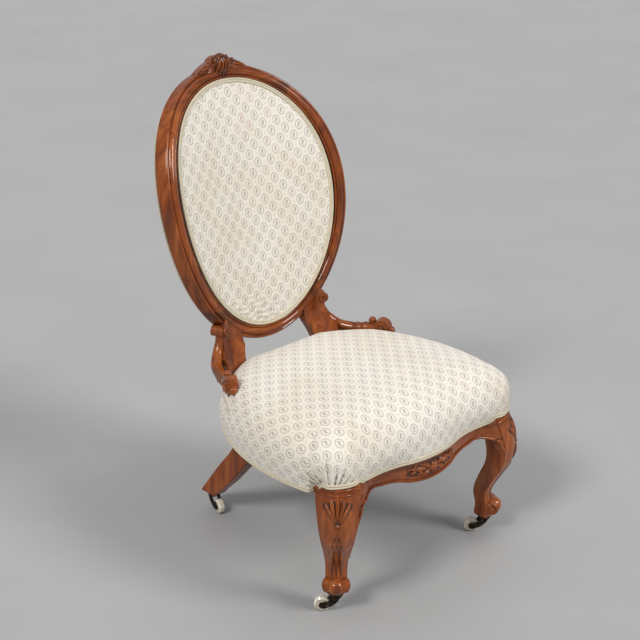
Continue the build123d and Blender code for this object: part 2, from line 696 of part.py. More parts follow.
def arm(support):
    """Scrolled arm: rolled rail with a rosette and buds at its front, on a fin over the side rail."""
    along = arm_direction()
    across = Vector(along.Y, -along.X, 0)
    piece = roll(ARM_JOINT, len(arm_path()) - 1, ARM_RADIUS)
    centre = Vector(ARM_END_X, ARM_END_Y, ROSETTE_Z)
    piece += Plane(origin=centre, z_dir=across) * Cylinder(ROSETTE_RADIUS, ROSETTE_THICKNESS)
    piece += Pos(*(centre - along * BUD_SETBACK + Vector(0, 0, BUD_RISE))) * Sphere(BUD_RADIUS)
    piece += Pos(*(centre + along * LOBE_REACH - Vector(0, 0, LOBE_FALL))) * Sphere(LOBE_RADIUS)
    piece += fin_plane() * Pos(-FIN_SETBACK, 0, 0) * Box(
        FIN_LENGTH, FIN_THICKNESS, ROSETTE_Z - RAIL_TOP, align=ON_BASE
    )
    return max((piece - support).solids(), key=lambda solid: solid.volume)


# Seat filling
def seat_cushion():
    """Stuffed and covered seat: drawn in at the rails, swelling over them to a crowned top."""
    rise = RAIL_HEIGHT + SEAT_CROWN - BULGE_HEIGHT
    levels = [(1.0, 0.0), ((2 * BULGE_SCALE + 1) / 3, BULGE_HEIGHT / 2)]
    for turn in CROWN_TURNS:
        share = cos(radians(turn)) ** CROWN_FLATNESS
        levels.append((BULGE_SCALE * share, BULGE_HEIGHT + rise * sin(radians(turn))))
    body = loft([seat_outline(scale, RAIL_BASE + height) for scale, height in levels])
    loose = RAIL_SCALE + CLEARANCE / SEAT_HALF_WIDTH
    low = RAIL_BASE - RAIL_THICKNESS
    body -= prism(seat_outline(loose), low, RAIL_TOP + CLEARANCE)
    well_top = RAIL_BASE + SPRING_HEIGHT + HESSIAN_THICKNESS + CLEARANCE
    body -= prism(seat_outline(WELL_SCALE), RAIL_TOP, well_top)
    front = Pos(0, RAIL_BACK_Y + SHOW_STEP, low)
    size = 3 * SEAT_HALF_WIDTH
    low_front = (Align.CENTER, Align.MAX, Align.MIN)
    body -= front * Box(size, SEAT_FRONT, SHOW_TOP + CLEARANCE - low, align=low_front)
    for side in (1, -1):
        knee = Pos(side * (FRONT_TRACK - LEG_STATIONS[-1][1]) / 2, RAIL_BACK_Y + KNEE_STEP, low)
        body -= knee * Box(
            SEAT_HALF_WIDTH, SEAT_FRONT, LEG_TOP + CLEARANCE - low,
            align=(Align.MIN if side > 0 else Align.MAX, Align.MAX, Align.MIN),
        )
    return body


def webbing():
    """Woven webs under the springs: one layer from side to side, one from front to back."""
    inside = prism(seat_outline(WEB_SCALE), WEB_BASE, RAIL_BASE)
    length = BACK_RAIL_OUTER - RAIL_BACK_Y - WEB_INSET
    strips = []
    for index in range(LONG_WEBS):
        spot = Pos((index - (LONG_WEBS - 1) / 2) * WEB_PITCH, RAIL_BACK_Y, RAIL_BASE - WEB_THICKNESS)
        strips.append(spot * Box(WEB_WIDTH, length, WEB_THICKNESS, align=FROM_FRONT))
    for index in range(CROSS_WEBS):
        spot = Pos(0, SEAT_MIDDLE_Y + (index - (CROSS_WEBS - 1) / 2) * WEB_PITCH, WEB_BASE)
        band = Box(3 * SEAT_HALF_WIDTH, WEB_WIDTH, WEB_THICKNESS, align=ON_BASE)
        strips.append(spot * band & inside)
    return strips


def spring(x, y):
    """Hourglass spring, as the envelope that its coils fill."""
    w, h = SPRING_WALL, SPRING_HEIGHT
    outer = [(SPRING_RADIUS, 0), (SPRING_WAIST, h / 2), (SPRING_RADIUS, h)]
    inner = [(radius - w, height) for radius, height in reversed(outer)]
    profile = make_face(Polyline(*outer, *inner, close=True))
    return Pos(x, y, RAIL_BASE) * revolve(Plane.XZ * profile, Axis.Z)


def springs():
    """Five springs: four about the middle of the seat and one at its centre."""
    outer = (LONG_WEBS - 1) / 2 * WEB_PITCH
    spots = [(sx * outer, SEAT_MIDDLE_Y + sy * WEB_PITCH) for sx in (-1, 1) for sy in (-1, 1)]
    return [spring(x, y) for x, y in spots + [(0.0, SEAT_MIDDLE_Y)]]


def spring_hessian():
    """Hessian laid over the springs, under the stuffing."""
    low = RAIL_BASE + SPRING_HEIGHT
    return prism(seat_outline(WELL_SCALE - CLEARANCE / SEAT_HALF_WIDTH), low, low + HESSIAN_THICKNESS)


def bottoming(leg, hind):
    """Black cloth tacked under the webbing."""
    size = 3 * SEAT_HALF_WIDTH
    behind = Pos(0, RAIL_BACK_Y, 0) * Rectangle(size, size, align=(Align.CENTER, Align.MIN))
    sheet = prism(seat_outline(WEB_SCALE) & behind, WEB_BASE - BOTTOMING_THICKNESS, WEB_BASE)
    for cut in (leg, hind):
        sheet = sheet - cut - other_side(cut)
    return sheet


# Casters
def caster_plate():
    """Round fixing plate with a hole for the pivot pin."""
    plate = Pos(0, 0, FOOT_HEIGHT - PLATE_THICKNESS / 2) * Cylinder(PLATE_RADIUS, PLATE_THICKNESS)
    return plate - Pos(0, 0, FOOT_HEIGHT) * Cylinder(PIN_DIAMETER / 2, 4 * PLATE_THICKNESS)


HEAD_TOP = FOOT_HEIGHT - PLATE_THICKNESS - CLEARANCE
HEAD_BASE = HEAD_TOP - HEAD_HEIGHT


def pivot_pin():
    """Pin fixed in the plate, with a rivet head that holds up the horn."""
    top = HEAD_BASE - CLEARANCE
    pin = Pos(0, 0, top) * Cylinder(
        PIN_DIAMETER / 2, FOOT_HEIGHT - top, align=ON_BASE
    )
    return pin + Pos(0, 0, top - RIVET_HEIGHT / 2) * Cylinder(RIVET_RADIUS, RIVET_HEIGHT)


CHEEK_INNER = WHEEL_WIDTH / 2 + SIDE_PLAY
CHEEK_OUTER = CHEEK_INNER + CHEEK_THICKNESS


def horn():
    """Swivel horn: a head on the pivot and two crescent cheeks that carry the axle behind it."""
    axle_x, axle_z = CASTER_TRAIL, WHEEL_RADIUS
    boss_x = axle_x - BOSS_RADIUS / 3
    back, front = (-NECK_HALF, HEAD_TOP), (NECK_HALF, HEAD_TOP)
    over, under = (boss_x, axle_z + BOSS_RADIUS), (boss_x, axle_z - BOSS_RADIUS)
    cheek = make_face(
        [
            Line(back, front),
            ThreePointArc(front, (NECK_HALF + NECK_HOLLOW, HEAD_BASE - NECK_DROP), over),
            ThreePointArc(over, (axle_x + BOSS_RADIUS, axle_z), under),
            ThreePointArc(under, (HORN_SWEEP, axle_z), back),
        ]
    )
    body = Pos(0, 0, HEAD_BASE) * Cylinder(HEAD_RADIUS, HEAD_HEIGHT, align=ON_BASE)
    for y in (CHEEK_INNER, -CHEEK_OUTER):
        body += extrude(Pos(0, y, 0) * (Plane.XZ * cheek), amount=CHEEK_THICKNESS, dir=(0, 1, 0))
    body -= Pos(0, 0, HEAD_BASE) * Cylinder(PIN_DIAMETER / 2 + RUNNING_CLEARANCE, 4 * HEAD_HEIGHT)
    body -= wheel_plane() * Cylinder(AXLE_DIAMETER / 2, 4 * CHEEK_OUTER)
    return body


def wheel_plane():
    """Plane across the axle at the middle of the wheel."""
    return Plane(origin=(CASTER_TRAIL, 0, WHEEL_RADIUS), x_dir=(1, 0, 0), z_dir=(0, 1, 0))


def axle():
    """Axle pin, fixed in the two cheeks."""
    return wheel_plane() * Cylinder(AXLE_DIAMETER / 2, 2 * (CHEEK_OUTER + AXLE_END))


def wheel():
    """Porcelain wheel with dished sides and a hub."""
    half, r, bore = WHEEL_WIDTH / 2, WHEEL_RADIUS, AXLE_DIAMETER / 2 + RUNNING_CLEARANCE
    hub, dish, rim = bore + HUB_WALL, half - DISH_DEPTH, r - RIM_WIDTH
    hollow = [(hub + DISH_SLOPE, dish), (rim - DISH_SLOPE, dish)]
    side = [(bore, half), (hub, half)] + hollow + [(rim, half), (r, half - TREAD_EASE)]
    outline = side + [(x, -y) for x, y in reversed(side)]
    profile = make_face(Polyline(*outline, close=True))
    return wheel_plane() * revolve(Plane.XZ * profile, Axis.Z)


# Where each caster stands and which way its wheel trails at rest, in degrees from +X
CASTERS = {
    "front_left": (-FRONT_TRACK / 2, FRONT_PIVOT_Y, 136.0),
    "front_right": (FRONT_TRACK / 2, FRONT_PIVOT_Y, 136.0),
    "back_left": (-BACK_TRACK / 2, BACK_PIVOT_Y, 256.0),
    "back_right": (BACK_TRACK / 2, BACK_PIVOT_Y, 200.0),
}


def main():
    os.makedirs("parts", exist_ok=True)

    plates, pins = [], []
    for name, (x, y, trail) in CASTERS.items():
        spot = Pos(x, y, 0)
        turned = spot * Rot(0, 0, trail)
        plates.append(spot * caster_plate())
        pins.append(spot * pivot_pin())
        save(name + "_caster_horn", turned * horn())
        save(name + "_caster_axle", turned * axle())
        save(name + "_caster_wheel", turned * wheel())
    save("caster_plates", *plates)
    save("caster_pivots", *pins)

    leg, hind = front_leg(), back_leg()
    save("front_right_leg", leg)
    save("front_left_leg", other_side(leg))
    save("back_right_leg", hind)
    save("back_left_leg", other_side(hind))

    ring = rail_ring()
    front, side, back = front_rail(leg), side_rail(ring, leg, hind), back_rail(ring)
    save("front_rail", front)
    save("right_side_rail", side)
    save("left_side_rail", other_side(side))
    save("back_rail", back)
    blocks = corner_blocks(front, side, back, leg, hind)
    save("corner_blocks", *blocks, *[other_side(block) for block in blocks])

    right, top_left, bottom_left, bottom_right = JOINT_ANGLES
    dowels = frame_dowels()
    top = oval_rail(right, top_left)
    left_stile = oval_rail(top_left, bottom_left)
    lower = oval_rail(bottom_left, bottom_right)
    right_stile = oval_rail(bottom_right - 360, right)
    oval_parts = []
    for piece in (top, left_stile, lower, right_stile):
        for dowel in dowels:
            piece = piece - dowel
        oval_parts.append(piece)
    top, left_stile, lower, right_stile = oval_parts
    save("crest_rail", top)
    save("left_back_stile", left_stile)
    save("lower_back_rail", lower)
    save("right_back_stile", right_stile)
    save("back_frame_dowels", *dowels)
    save("crest_carving", crest(top))

    support = back_support(right_stile, lower)
    right_arm = arm(support)
    save("right_back_support", support)
    save("left_back_support", other_side(support))
    save("right_arm", right_arm)
    save("left_arm", other_side(right_arm))

    edge_inset = FRAME_WIDTH + PAD_GAP
    web_back = -LEDGE_DEPTH + CLEARANCE
    pad_back = web_back + WEB_THICKNESS + CLEARANCE
    save("back_webbing", back_sheet(edge_inset, web_back, WEB_THICKNESS, 0.0))
    save("back_pad", back_sheet(edge_inset, pad_back, PAD_EDGE, PAD_CROWN))
    cover_back = -FRAME_THICKNESS - WEB_THICKNESS - COVER_STAND_OFF
    save("outside_back_cover", back_sheet(COVER_INSET, cover_back, WEB_THICKNESS, 0.0))

    seat = seat_cushion()
    gap = 2 * CLEARANCE
    room = bent_board(SUPPORT_THICKNESS + 2 * gap, RAIL_BASE, FLANK_Z)
    last = len(arm_path()) - 1
    rolls = [roll(first, end, ARM_RADIUS + gap) for first, end in ((0, ARM_JOINT), (ARM_JOINT, last))]
    for cut in [room, arm_room()] + rolls:
        seat = seat - cut - other_side(cut)
    save("seat_cushion", max(seat.solids(), key=lambda solid: solid.volume))
    save("seat_webbing", *webbing())
    save("seat_springs", *springs())
    save("spring_hessian", spring_hessian())
    save("bottoming_cloth", bottoming(leg, hind))


if __name__ == "__main__":
    main()
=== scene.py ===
"""Looks for an oval-back drawing-room chair: polished walnut with carving, a sprung seat and a padded back
in a cream cloth with small medallions, braid round their edges, and casters with porcelain wheels.

Metres, in the frame of the solids: +Z up, the sitter faces -Y, and +X is to the right of someone who faces
the chair.
"""

import json
from cmath import phase
from math import asin, ceil, cos, hypot, pi, radians, sin, sqrt

import bpy
import numpy as np
from mathutils import Matrix, Vector
from mathutils.bvhtree import BVHTree


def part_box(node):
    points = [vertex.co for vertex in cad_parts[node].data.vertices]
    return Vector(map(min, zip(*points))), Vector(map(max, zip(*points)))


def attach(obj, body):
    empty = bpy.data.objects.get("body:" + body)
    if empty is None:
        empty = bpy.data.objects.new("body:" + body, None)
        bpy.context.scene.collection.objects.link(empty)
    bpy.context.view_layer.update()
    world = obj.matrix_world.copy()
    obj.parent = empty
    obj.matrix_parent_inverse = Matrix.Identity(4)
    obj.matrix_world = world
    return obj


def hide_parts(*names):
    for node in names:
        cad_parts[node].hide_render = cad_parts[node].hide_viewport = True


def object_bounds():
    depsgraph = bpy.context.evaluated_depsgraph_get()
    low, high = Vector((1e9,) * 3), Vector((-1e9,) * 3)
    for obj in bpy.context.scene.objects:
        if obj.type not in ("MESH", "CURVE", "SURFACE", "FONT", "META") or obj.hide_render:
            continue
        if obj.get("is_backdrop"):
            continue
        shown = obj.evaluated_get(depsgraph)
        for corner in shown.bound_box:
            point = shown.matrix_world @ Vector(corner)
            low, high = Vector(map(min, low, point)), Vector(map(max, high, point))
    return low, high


bl_info = {
    "name": "Oval-back drawing-room chair",
    "version": (1, 0, 0),
    "blender": (4, 5, 0),
    "location": "View3D > Sidebar > Chair",
    "description": "Dresses the chair's solids in walnut, carving, cloth, braid and porcelain",
    "category": "Object",
}

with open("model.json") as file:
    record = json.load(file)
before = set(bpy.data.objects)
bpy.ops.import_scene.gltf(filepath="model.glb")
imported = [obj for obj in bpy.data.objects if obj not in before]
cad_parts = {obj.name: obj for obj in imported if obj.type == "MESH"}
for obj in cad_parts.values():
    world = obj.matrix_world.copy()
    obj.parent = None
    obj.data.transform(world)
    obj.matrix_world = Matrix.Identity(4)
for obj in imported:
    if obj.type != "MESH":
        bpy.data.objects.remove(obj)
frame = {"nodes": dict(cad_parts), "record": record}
CAD_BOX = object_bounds()
NODES = frame["nodes"]

# Left is the side at -X
SIDES = (-1, 1)
NAMED_SIDES = ((-1, "left"), (1, "right"))
FRONT = Vector((0.0, -1.0, 0.0))

# Seat outline in plan, as the solids have it
SEAT_FRONT = 0.262
SEAT_HALF = 0.262
SEAT_WAVE = 0.010
SEAT_WAVE_HALF = 0.068
SEAT_CORNER = 0.057
SEAT_SIDE_SWELL = 0.004
SEAT_BACK = 0.160
SEAT_BACK_HALF = 0.105
SEAT_HIP = (0.212, 0.088)
SEAT_HIP_ROUND = 0.005
SEAT_MIDDLE = np.array((0.0, -0.056))
SEAT_SIDE_POINTS = 241

# Seat's upholstery: its heights from the rail to the crown, and how far its side bulges
RAIL_BASE = 0.258
RAIL_TOP = 0.318
BULGE_Z = 0.304
BULGE = 1.038
CROWN_Z = 0.381
CROWN_FLATNESS = 0.33
CROWN_DOME = 0.002
CROWN_WAVE = 0.003
CROWN_SHELLS = 56
SIDE_SHELLS = 22
SIDE_ROUND = 1.6

# Foot of the seat's cloth: where it rises to the show rail, and where it tucks in and rises over a knee
SHOW_TOP = 0.2663
SHOW_RISE = (0.200, 0.220)
KNEE_TOP = 0.2763
KNEE_SIDE = 0.2495
KNEE_PROUD = 0.003
KNEE_TUCK = (0.2035, 0.2085)
KNEE_RISE = (0.2085, 0.2300)
KNEE_STEP = (0.170, 0.194)

# Stuffing: its push on the cloth, how far the cloth may move, and the shells where the tacks let go and hold
SETTLE_FRAMES = 12
SEAT_PRESSURE = 1.2
SEAT_SETTLE = 0.006
SEAT_TACKED = (14, 3)
BACK_PRESSURE = 0.6
BACK_SETTLE = 0.004
BACK_TACKED = (8, 2)

# Gathers over the front legs: the lean of each crease in degrees and how far up it runs
PLEAT_CREASES = (
    (-66, 0.045), (-54, 0.080), (-43, 0.092), (-30, 0.066), (-8, 0.092), (9, 0.050), (21, 0.074), (34, 0.058),
    (47, 0.072), (60, 0.045),
)
PLEAT_APEX = (0.2455, -0.2455)
PLEAT_ROOT = 0.030
PLEAT_START = (0.004, 0.012)
PLEAT_FADE = (0.35, 1.0)
PLEAT_ROUND = 0.065
PLEAT_REACH = 0.10
PLEAT_DEPTH = 0.0031
PLEAT_WIDTH = 0.0016
PLEAT_FLARE = 1.2
PLEAT_TAPER = 0.5
LIP_RISE = 0.45
LIP_PLACE = 2.2
CORNER_REACH = 0.045
CORNER_DRAW = 0.0065
CORNER_DEPTH = 0.024

# Slit in the cloth where an arm goes down to the seat rail: its two top corners and its foot, on the left
SLIT = np.array(((-0.2162, 0.0847, 0.3352), (-0.2179, 0.0414, 0.3570), (-0.2457, 0.0333, 0.3267)))
SLIT_FACING = np.array((-0.76, 0.35, 0.55))
SLIT_NEAR = 0.05
SLIT_EDGE = (-0.0005, 0.0015)
SLIT_DEPTH = 0.003
SLIT_SWAY = (0.0, 0.002, 0.0)
WELT_RADIUS = 0.0011
WELT_PROUD = 0.4

# Oval back: its own axes run across (x) and up the slope (v), and "proud" is forward of its face
BACK_HALF_WIDTH = 0.227
BACK_HALF_HEIGHT = 0.279
BACK_EGG = 0.06
BACK_EGG_SQUARE = 0.02
BACK_BOW = 0.470
BACK_CENTRE = Vector((0.0, 0.2567, 0.6401))
RECLINE = radians(16.5)
UP_BACK = Vector((0.0, sin(RECLINE), cos(RECLINE)))
BACK_FACE = Vector((0.0, -cos(RECLINE), sin(RECLINE)))
PAD_INSET = 0.0285
PAD_EDGE = 0.0036
PAD_CROWN = 0.016
PAD_ROUND = (2.6, 0.6)
PAD_SHELLS = 40
COVER_INSET = 0.009
COVER_PROUD = -0.0335
COVER_SWELL = 0.0035
COVER_SHELLS = 24

# Slack cloth low on the left of the back: its ripples, and where they set in and end
SLACK_DEPTH = 0.0011
SLACK_PITCH = 0.0125
SLACK_SWAY = 0.30
SLACK_SWAY_PITCH = 0.017
SLACK_SHIVER = 0.18
SLACK_SHIVER_PITCH = (0.0061, 0.011)
SLACK_DOWN = (0.150, 0.215)
SLACK_ACROSS = (-0.02, 0.06)
SLACK_END = (0.238, 0.248)

# Gimp: its section as shares of its half width and its height, how its cords twist, and where it lies
BRAID_SHARES = (-1.0, -0.86, -0.5, -0.14, 0.0, 0.14, 0.5, 0.86, 1.0)
BRAID_RISES = (0.0, 0.62, 1.0, 0.62, 0.30, 0.62, 1.0, 0.62, 0.0)
BRAID_TWIST = 0.22
BRAID_LEAN = 5.0
BRAID_WAVER = 0.05
BRAID_UNDER = 0.8
BRAID_SUNK = 0.0012
BRAID_STEPS = 5
PAD_BRAID_INSET = PAD_INSET + 0.0030
PAD_BRAID_PROUD = PAD_EDGE + 0.0030
COVER_BRAID_INSET = COVER_INSET + 0.004
COVER_BRAID_PROUD = COVER_PROUD - 0.0008
SEAT_BRAID_PROUD = 0.0012
SEAT_BRAID_LAP = 0.001

# Carving: how deep its edges are sunk, the rises of its ground and full relief, and where search lines start
SUNK = 0.0006
GROUND = 0.0008
FULL_RELIEF = 0.0022
FAR = 0.2

# Knees: the palmette's patch and its leaves, each with its length, width, rise, vein and fullest place
FRONT_PIVOT = (0.215, -0.231)
KNEE_WAIST = 0.209
PALMETTE_SIZE = (0.054, 0.190)
PALMETTE_FALL = 0.036
PALMETTE_FAN = 38
PALMETTE_HEART = 0.004
PALMETTE_GROUND = 0.046
FINGER_REACH = (0.058, 0.052, 0.044)
FINGER_FORM = (0.0038, 0.0054, 0.45, 1.45)
LEAF_LEAN = 14
LEAF_GAP = 0.0012
LEAF_ROOT = 0.002
LOWER_LEAF = (0.037, 0.0034, 0.0046, 0.4, 1.1)
REED_PLACES = (-0.0085, 0.0, 0.0085)
REED_FALL = 0.040
REED = (0.092, 0.0036, 0.0026, 0.0)
WAIST_BOSS = ((0, 0.001), 0.0036, 0.0040)

# Mouldings round the top of a front leg: name, height, droop at the ends and radius
KNEE_MOULDINGS = (("cornice", 0.2720, 0.012, 0.0030), ("neck_bead", 0.2635, 0.013, 0.0016))
MOULDING_TURN = 96
MOULDING_HEART = 0.008
MOULDING_PROUD = 0.0006
MOULDING_TIP = 0.45
MOULDING_SWELL = 6

# Toes and the bead down a front leg; a volute has its outer and inner reach, its turns and its thickness
TOE_REACH = 0.013
TOE_Z = 0.062
TOE_HALF = 0.0232
TOE_VOLUTE = (0.0108, 0.0060, 1.1, 0.0022)
TOE_EGG_REACH = 0.0074
TOE_EGG_FALL = 0.0008
TOE_EGG_RADIUS = 0.0106
TOE_EGG_HEIGHT = 1.40
LEG_BEAD_TOP = 0.2165
LEG_BEAD_FOOT = 0.105
LEG_BEAD_SEARCH = 0.05
LEG_BEAD_RADII = (0.0026, 0.0010)

# Front rail: its lower edge as (x, z), and the face that carries its end into a leg
RAIL_SHOULDER = (0.060, 0.2257)
RAIL_DROP_Z = 0.220
RAIL_ARCH = (0.124, 0.237)
RAIL_OGEE_FALL = 0.003
RAIL_EASE = (0.184, 0.232)
RAIL_SPRING = (0.204, 0.217)
RAIL_Y = -0.27
RAIL_END = 0.188
RAIL_MIDDLE_Z = 0.245
RAIL_BEAD = 0.0027
RAIL_BEAD_LIFT = 0.0034
RAIL_BEAD_PROUD = 0.0006
RAIL_BEAD_GAP = 0.002
FLOW_FROM = 0.146
FLOW_COLUMNS = 40
FLOW_ROWS = 16
FLOW_TURN = 0.72
FLOW_DROP = 0.026
FLOW_BELOW = 0.006
FLOW_LIFT = 0.0026
FLOW_RISE = 0.009
FLOW_PROUD = 0.0003
FLOW_UNDER = 0.004
LEG_SEARCH = (0.180, 0.214, 0.0005)
LEG_FACE_Y = -0.262
LEG_LAP = 0.001

# Carving on the front rail: leaves on its right as x, z, angle from upright in degrees, length and width
RAIL_LEAVES = (
    (0.010, 0.003, 62, 0.022, 0.0046), (0.010, -0.004, 104, 0.024, 0.0046), (0.020, 0.002, 80, 0.026, 0.0042),
    (0.026, 0.006, 52, 0.016, 0.0034), (0.028, -0.002, 112, 0.016, 0.0032), (0.040, 0.004, 74, 0.024, 0.0034),
    (0.044, 0.006, 44, 0.012, 0.0026), (0.046, 0.002, 100, 0.014, 0.0026),
)
RAIL_LEAF_RISE = 0.0052
RAIL_FLOWER = (0, -0.001)
RAIL_PETAL = (0.0130, 0.0050, 0.0062)
RAIL_HEART = (0.0042, 0.0074)
RAIL_BUDS = (((0.037, 0.001), 0.0040, 0.0048), ((0.062, 0.008), 0.0028, 0.0036))
RAIL_SPRAY_SIZE = (0.140, 0.036)
RAIL_SPRAY_Z = 0.2445
RAIL_SPRAY_STEP = 0.0007
RAIL_GROUND_HALF = (0.066, 0.017)
RAIL_PECKS = 4200

# Arms and supports: heights of the rounded rail by angle on its bend and by share on its run, and the scrolls
ARM_END = (0.212, 0.067, 0.365)
ARM_BEND_END = (0.1728, 0.1495)
BEND_CENTRE = (0.118, 0.125)
BEND_RADIUS = 0.060
ROLL_ON_BEND = ((0.42, 0.074), (0.60, 0.057), (0.88, 0.043))
ROLL_ON_RUN = ((0.0, 0.037), (0.34, 0.036), (0.66, 0.041), (0.90, 0.047))
ROLL_RADIUS = 0.0118
ROLL_SLIM = 0.14
ROLL_EASE = 0.3
ROLL_BANDS = (0.70, 0.80)
ROLL_BAND_RISE = 0.0016
ROLL_BAND_WIDTH = 0.018
ROSETTE_HALF = 0.0110
ROSETTE_VOLUTE = (0.0150, 0.0050, 1.5, 0.0034)
NIB_PLACE = (0.0862, 0.181, 0.388)
NIB_RADIUS = 0.0052
NIB_DEPTH = 1.3
FLANK = (0.143, 0.421)
FLANK_TURN = asin((FLANK[0] - BEND_CENTRE[0]) / BEND_RADIUS)
FLANK_HALF = 0.0130
FLANK_VOLUTE = (0.0088, 0.0036, 1.3, 0.0024)

# Crest: its lobes, leaves and buds, seen from the front about the top of the oval
CREST_SIZE = (0.150, 0.080)
CREST_GROUND = (0.019, 0.022)
CREST_GROUND_UP = 0.002
LOBE_REACH = (0.044, 0.041, 0.034)
LOBE_FORM = (0.0026, 0.0058, 0.3, 1.2)
LOBE_GAP = 0.0044
LOBE_ROOT = 0.017
LOBE_LEAN = 7
CREST_LEAVES = (
    (0.014, 0.004, 84, 0.030, 0.0060), (0.018, -0.002, 112, 0.026, 0.0052), (0.028, 0.001, 98, 0.032, 0.0050),
    (0.016, 0.010, 62, 0.020, 0.0048), (0.044, -0.003, 104, 0.026, 0.0036),
)
CREST_LEAF_RISE = 0.0042
CREST_BOSSES = (
    ((0, 0.020), 0.0040, 0.0046), ((-0.010, 0.016), 0.0040, 0.0046), ((0.010, 0.016), 0.0040, 0.0046),
    ((-0.030, 0.006), 0.0046, 0.0050), ((0.030, 0.006), 0.0046, 0.0050),
)
TOP_BUD = (0.0, 0.0190, 0.0040)
SIDE_BUD = (0.0310, 0.0085, 0.0036)
FLOWER = (0.0172, 0.0100, 0.0042)
FLOWER_REACH = (0.0082, 0.0076)
FLOWER_BUD = 0.0041
BUD_DEPTH = 0.8
TAIL_FROM = 8
TAIL_TO = 27
TAIL_INSET = 0.0035
TAIL_RADII = (0.0075, 0.0012)

# Grain of the solids that don't stand upright, and beech that is stained, as its ends show beside the knees
GRAIN = {
    "crest_rail": 0, "lower_back_rail": 0, "front_rail": 0, "crest_carving": 0,
    "left_arm": 1, "right_arm": 1, "left_side_rail": 1, "right_side_rail": 1,
}
STAINED = ("left_side_rail", "right_side_rail")

# Under the seat
BOTTOMING_SHELLS = 24
BOTTOMING_SAG = 0.006
BOTTOMING_STEP = 0.002
TACK_SPACING = 0.038
TACK_INSET = 0.010
TACK_RADIUS = 0.0042
TACK_HEIGHT = 0.45
TACK_FALL = 0.0008

# Woven medallions: the ring in shares of its half size, the sprig inside it and the dots between in metres
RING_PLACE = 0.92
RING_EDGE = (0.045, 0.16)
RING_BEADS = 22.0
STEM_WAVES = 640.0
STEM_SWAY = 0.0019
STEM_EDGE = (0.0008, 0.0018)
STEM_ENDS = (0.0052, 0.0066)
LEAF_HALF = (0.0036, 0.0011)
BLOOM_UP = 0.0022
BLOOM_HALF = (0.0027, 0.0029)
DOT_HALF = (0.0016, 0.0016)
MOTIF_STRENGTH = 0.92
ROSE_CHANCE = (0.93, 0.97)
THREAD_PITCH = 0.0009

# Camera: fitted to the outline of the oval, the legs and the casters
CAMERA_PLACE = Vector((-1.9173, -1.9097, 1.5731))
CAMERA_TARGET = Vector((0.0030, 0.0757, 0.4403))
CAMERA_ROLL = radians(0.54)
CAMERA_LENS = 83.91
CAMERA_SENSOR = 36.0
CAMERA_SHIFT = (0.0183, -0.0031)

# Studio: the reach of its floor, its even light, and its lamps by place, power, spread in degrees and tone
FLOOR_REACH = 200.0
AMBIENT = 0.40
AMBIENT_TONE = (0.96, 0.97, 1.0, 1.0)
LAMPS = {
    "key": ((-2.4, -0.25, 2.3), 1.60, 16, (1.0, 0.98, 0.95)),
    "fill": ((1.1, -2.7, 2.1), 1.68, 20, (1.0, 0.99, 0.97)),
    "top": ((0.3, 0.9, 3.3), 0.40, 50, (1.0, 1.0, 1.0)),
}


# Properties
def colour(name, description, default):
    """A colour that the user can change."""
    return bpy.props.FloatVectorProperty(
        name=name, description=description, subtype="COLOR", size=3, min=0.0, max=1.0, default=default
    )


def length(name, description, default):
    """A length that the user can change."""
    return bpy.props.FloatProperty(
        name=name, description=description, subtype="DISTANCE", unit="LENGTH", min=0.0, default=default
    )


class ChairColours(bpy.types.PropertyGroup):
    """Finishes of the chair."""

    walnut_dark: colour("Walnut, dark", "Dark figure of the polished walnut", (0.095, 0.0225, 0.0050))
    walnut_mid: colour("Walnut, middle", "Main tone of the polished walnut", (0.225, 0.0500, 0.0082))
    walnut_light: colour("Walnut, light", "Faded tone of the polished walnut", (0.370, 0.1030, 0.0220))
    beech: colour("Beech", "Hidden seat frame", (0.46, 0.29, 0.15))
    cloth: colour("Cloth", "Ground of the cover", (0.80, 0.755, 0.675))
    motif: colour("Motif", "Woven medallions", (0.25, 0.22, 0.20))
    rose: colour("Rose motif", "Tint of a few of the medallions", (0.48, 0.28, 0.24))
    braid: colour("Braid", "Gimp along the edges of the cloth", (0.74, 0.66, 0.49))
    hessian: colour("Hessian", "Jute webbing and hessian", (0.36, 0.25, 0.13))
    bottoming: colour("Bottoming", "Cloth under the seat", (0.018, 0.017, 0.016))
    iron: colour("Caster metal", "Blackened horns and plates", (0.022, 0.017, 0.014))
    steel: colour("Spring wire", "Coppered spring wire", (0.30, 0.19, 0.12))
    porcelain: colour("Porcelain", "Caster wheels", (0.80, 0.76, 0.66))
    floor: colour("Floor", "Studio floor", (0.400, 0.400, 0.400))


class ChairSizes(bpy.types.PropertyGroup):
    """Sizes of the trimmings and of the cloth's pattern."""

    pattern_width: length("Pattern width", "Repeat of the medallions across the cloth", 0.0345)
    pattern_height: length("Pattern height", "Repeat of the medallions along the cloth", 0.0375)
    medallion_width: length("Medallion width", "Width of one oval ring", 0.0175)
    medallion_height: length("Medallion height", "Height of one oval ring", 0.0205)
    braid_width: length("Braid width", "Width of the gimp", 0.0098)
    braid_height: length("Braid height", "How far the gimp stands proud", 0.0026)
    braid_pitch: length("Braid pitch", "Length of one loop of the gimp", 0.0034)


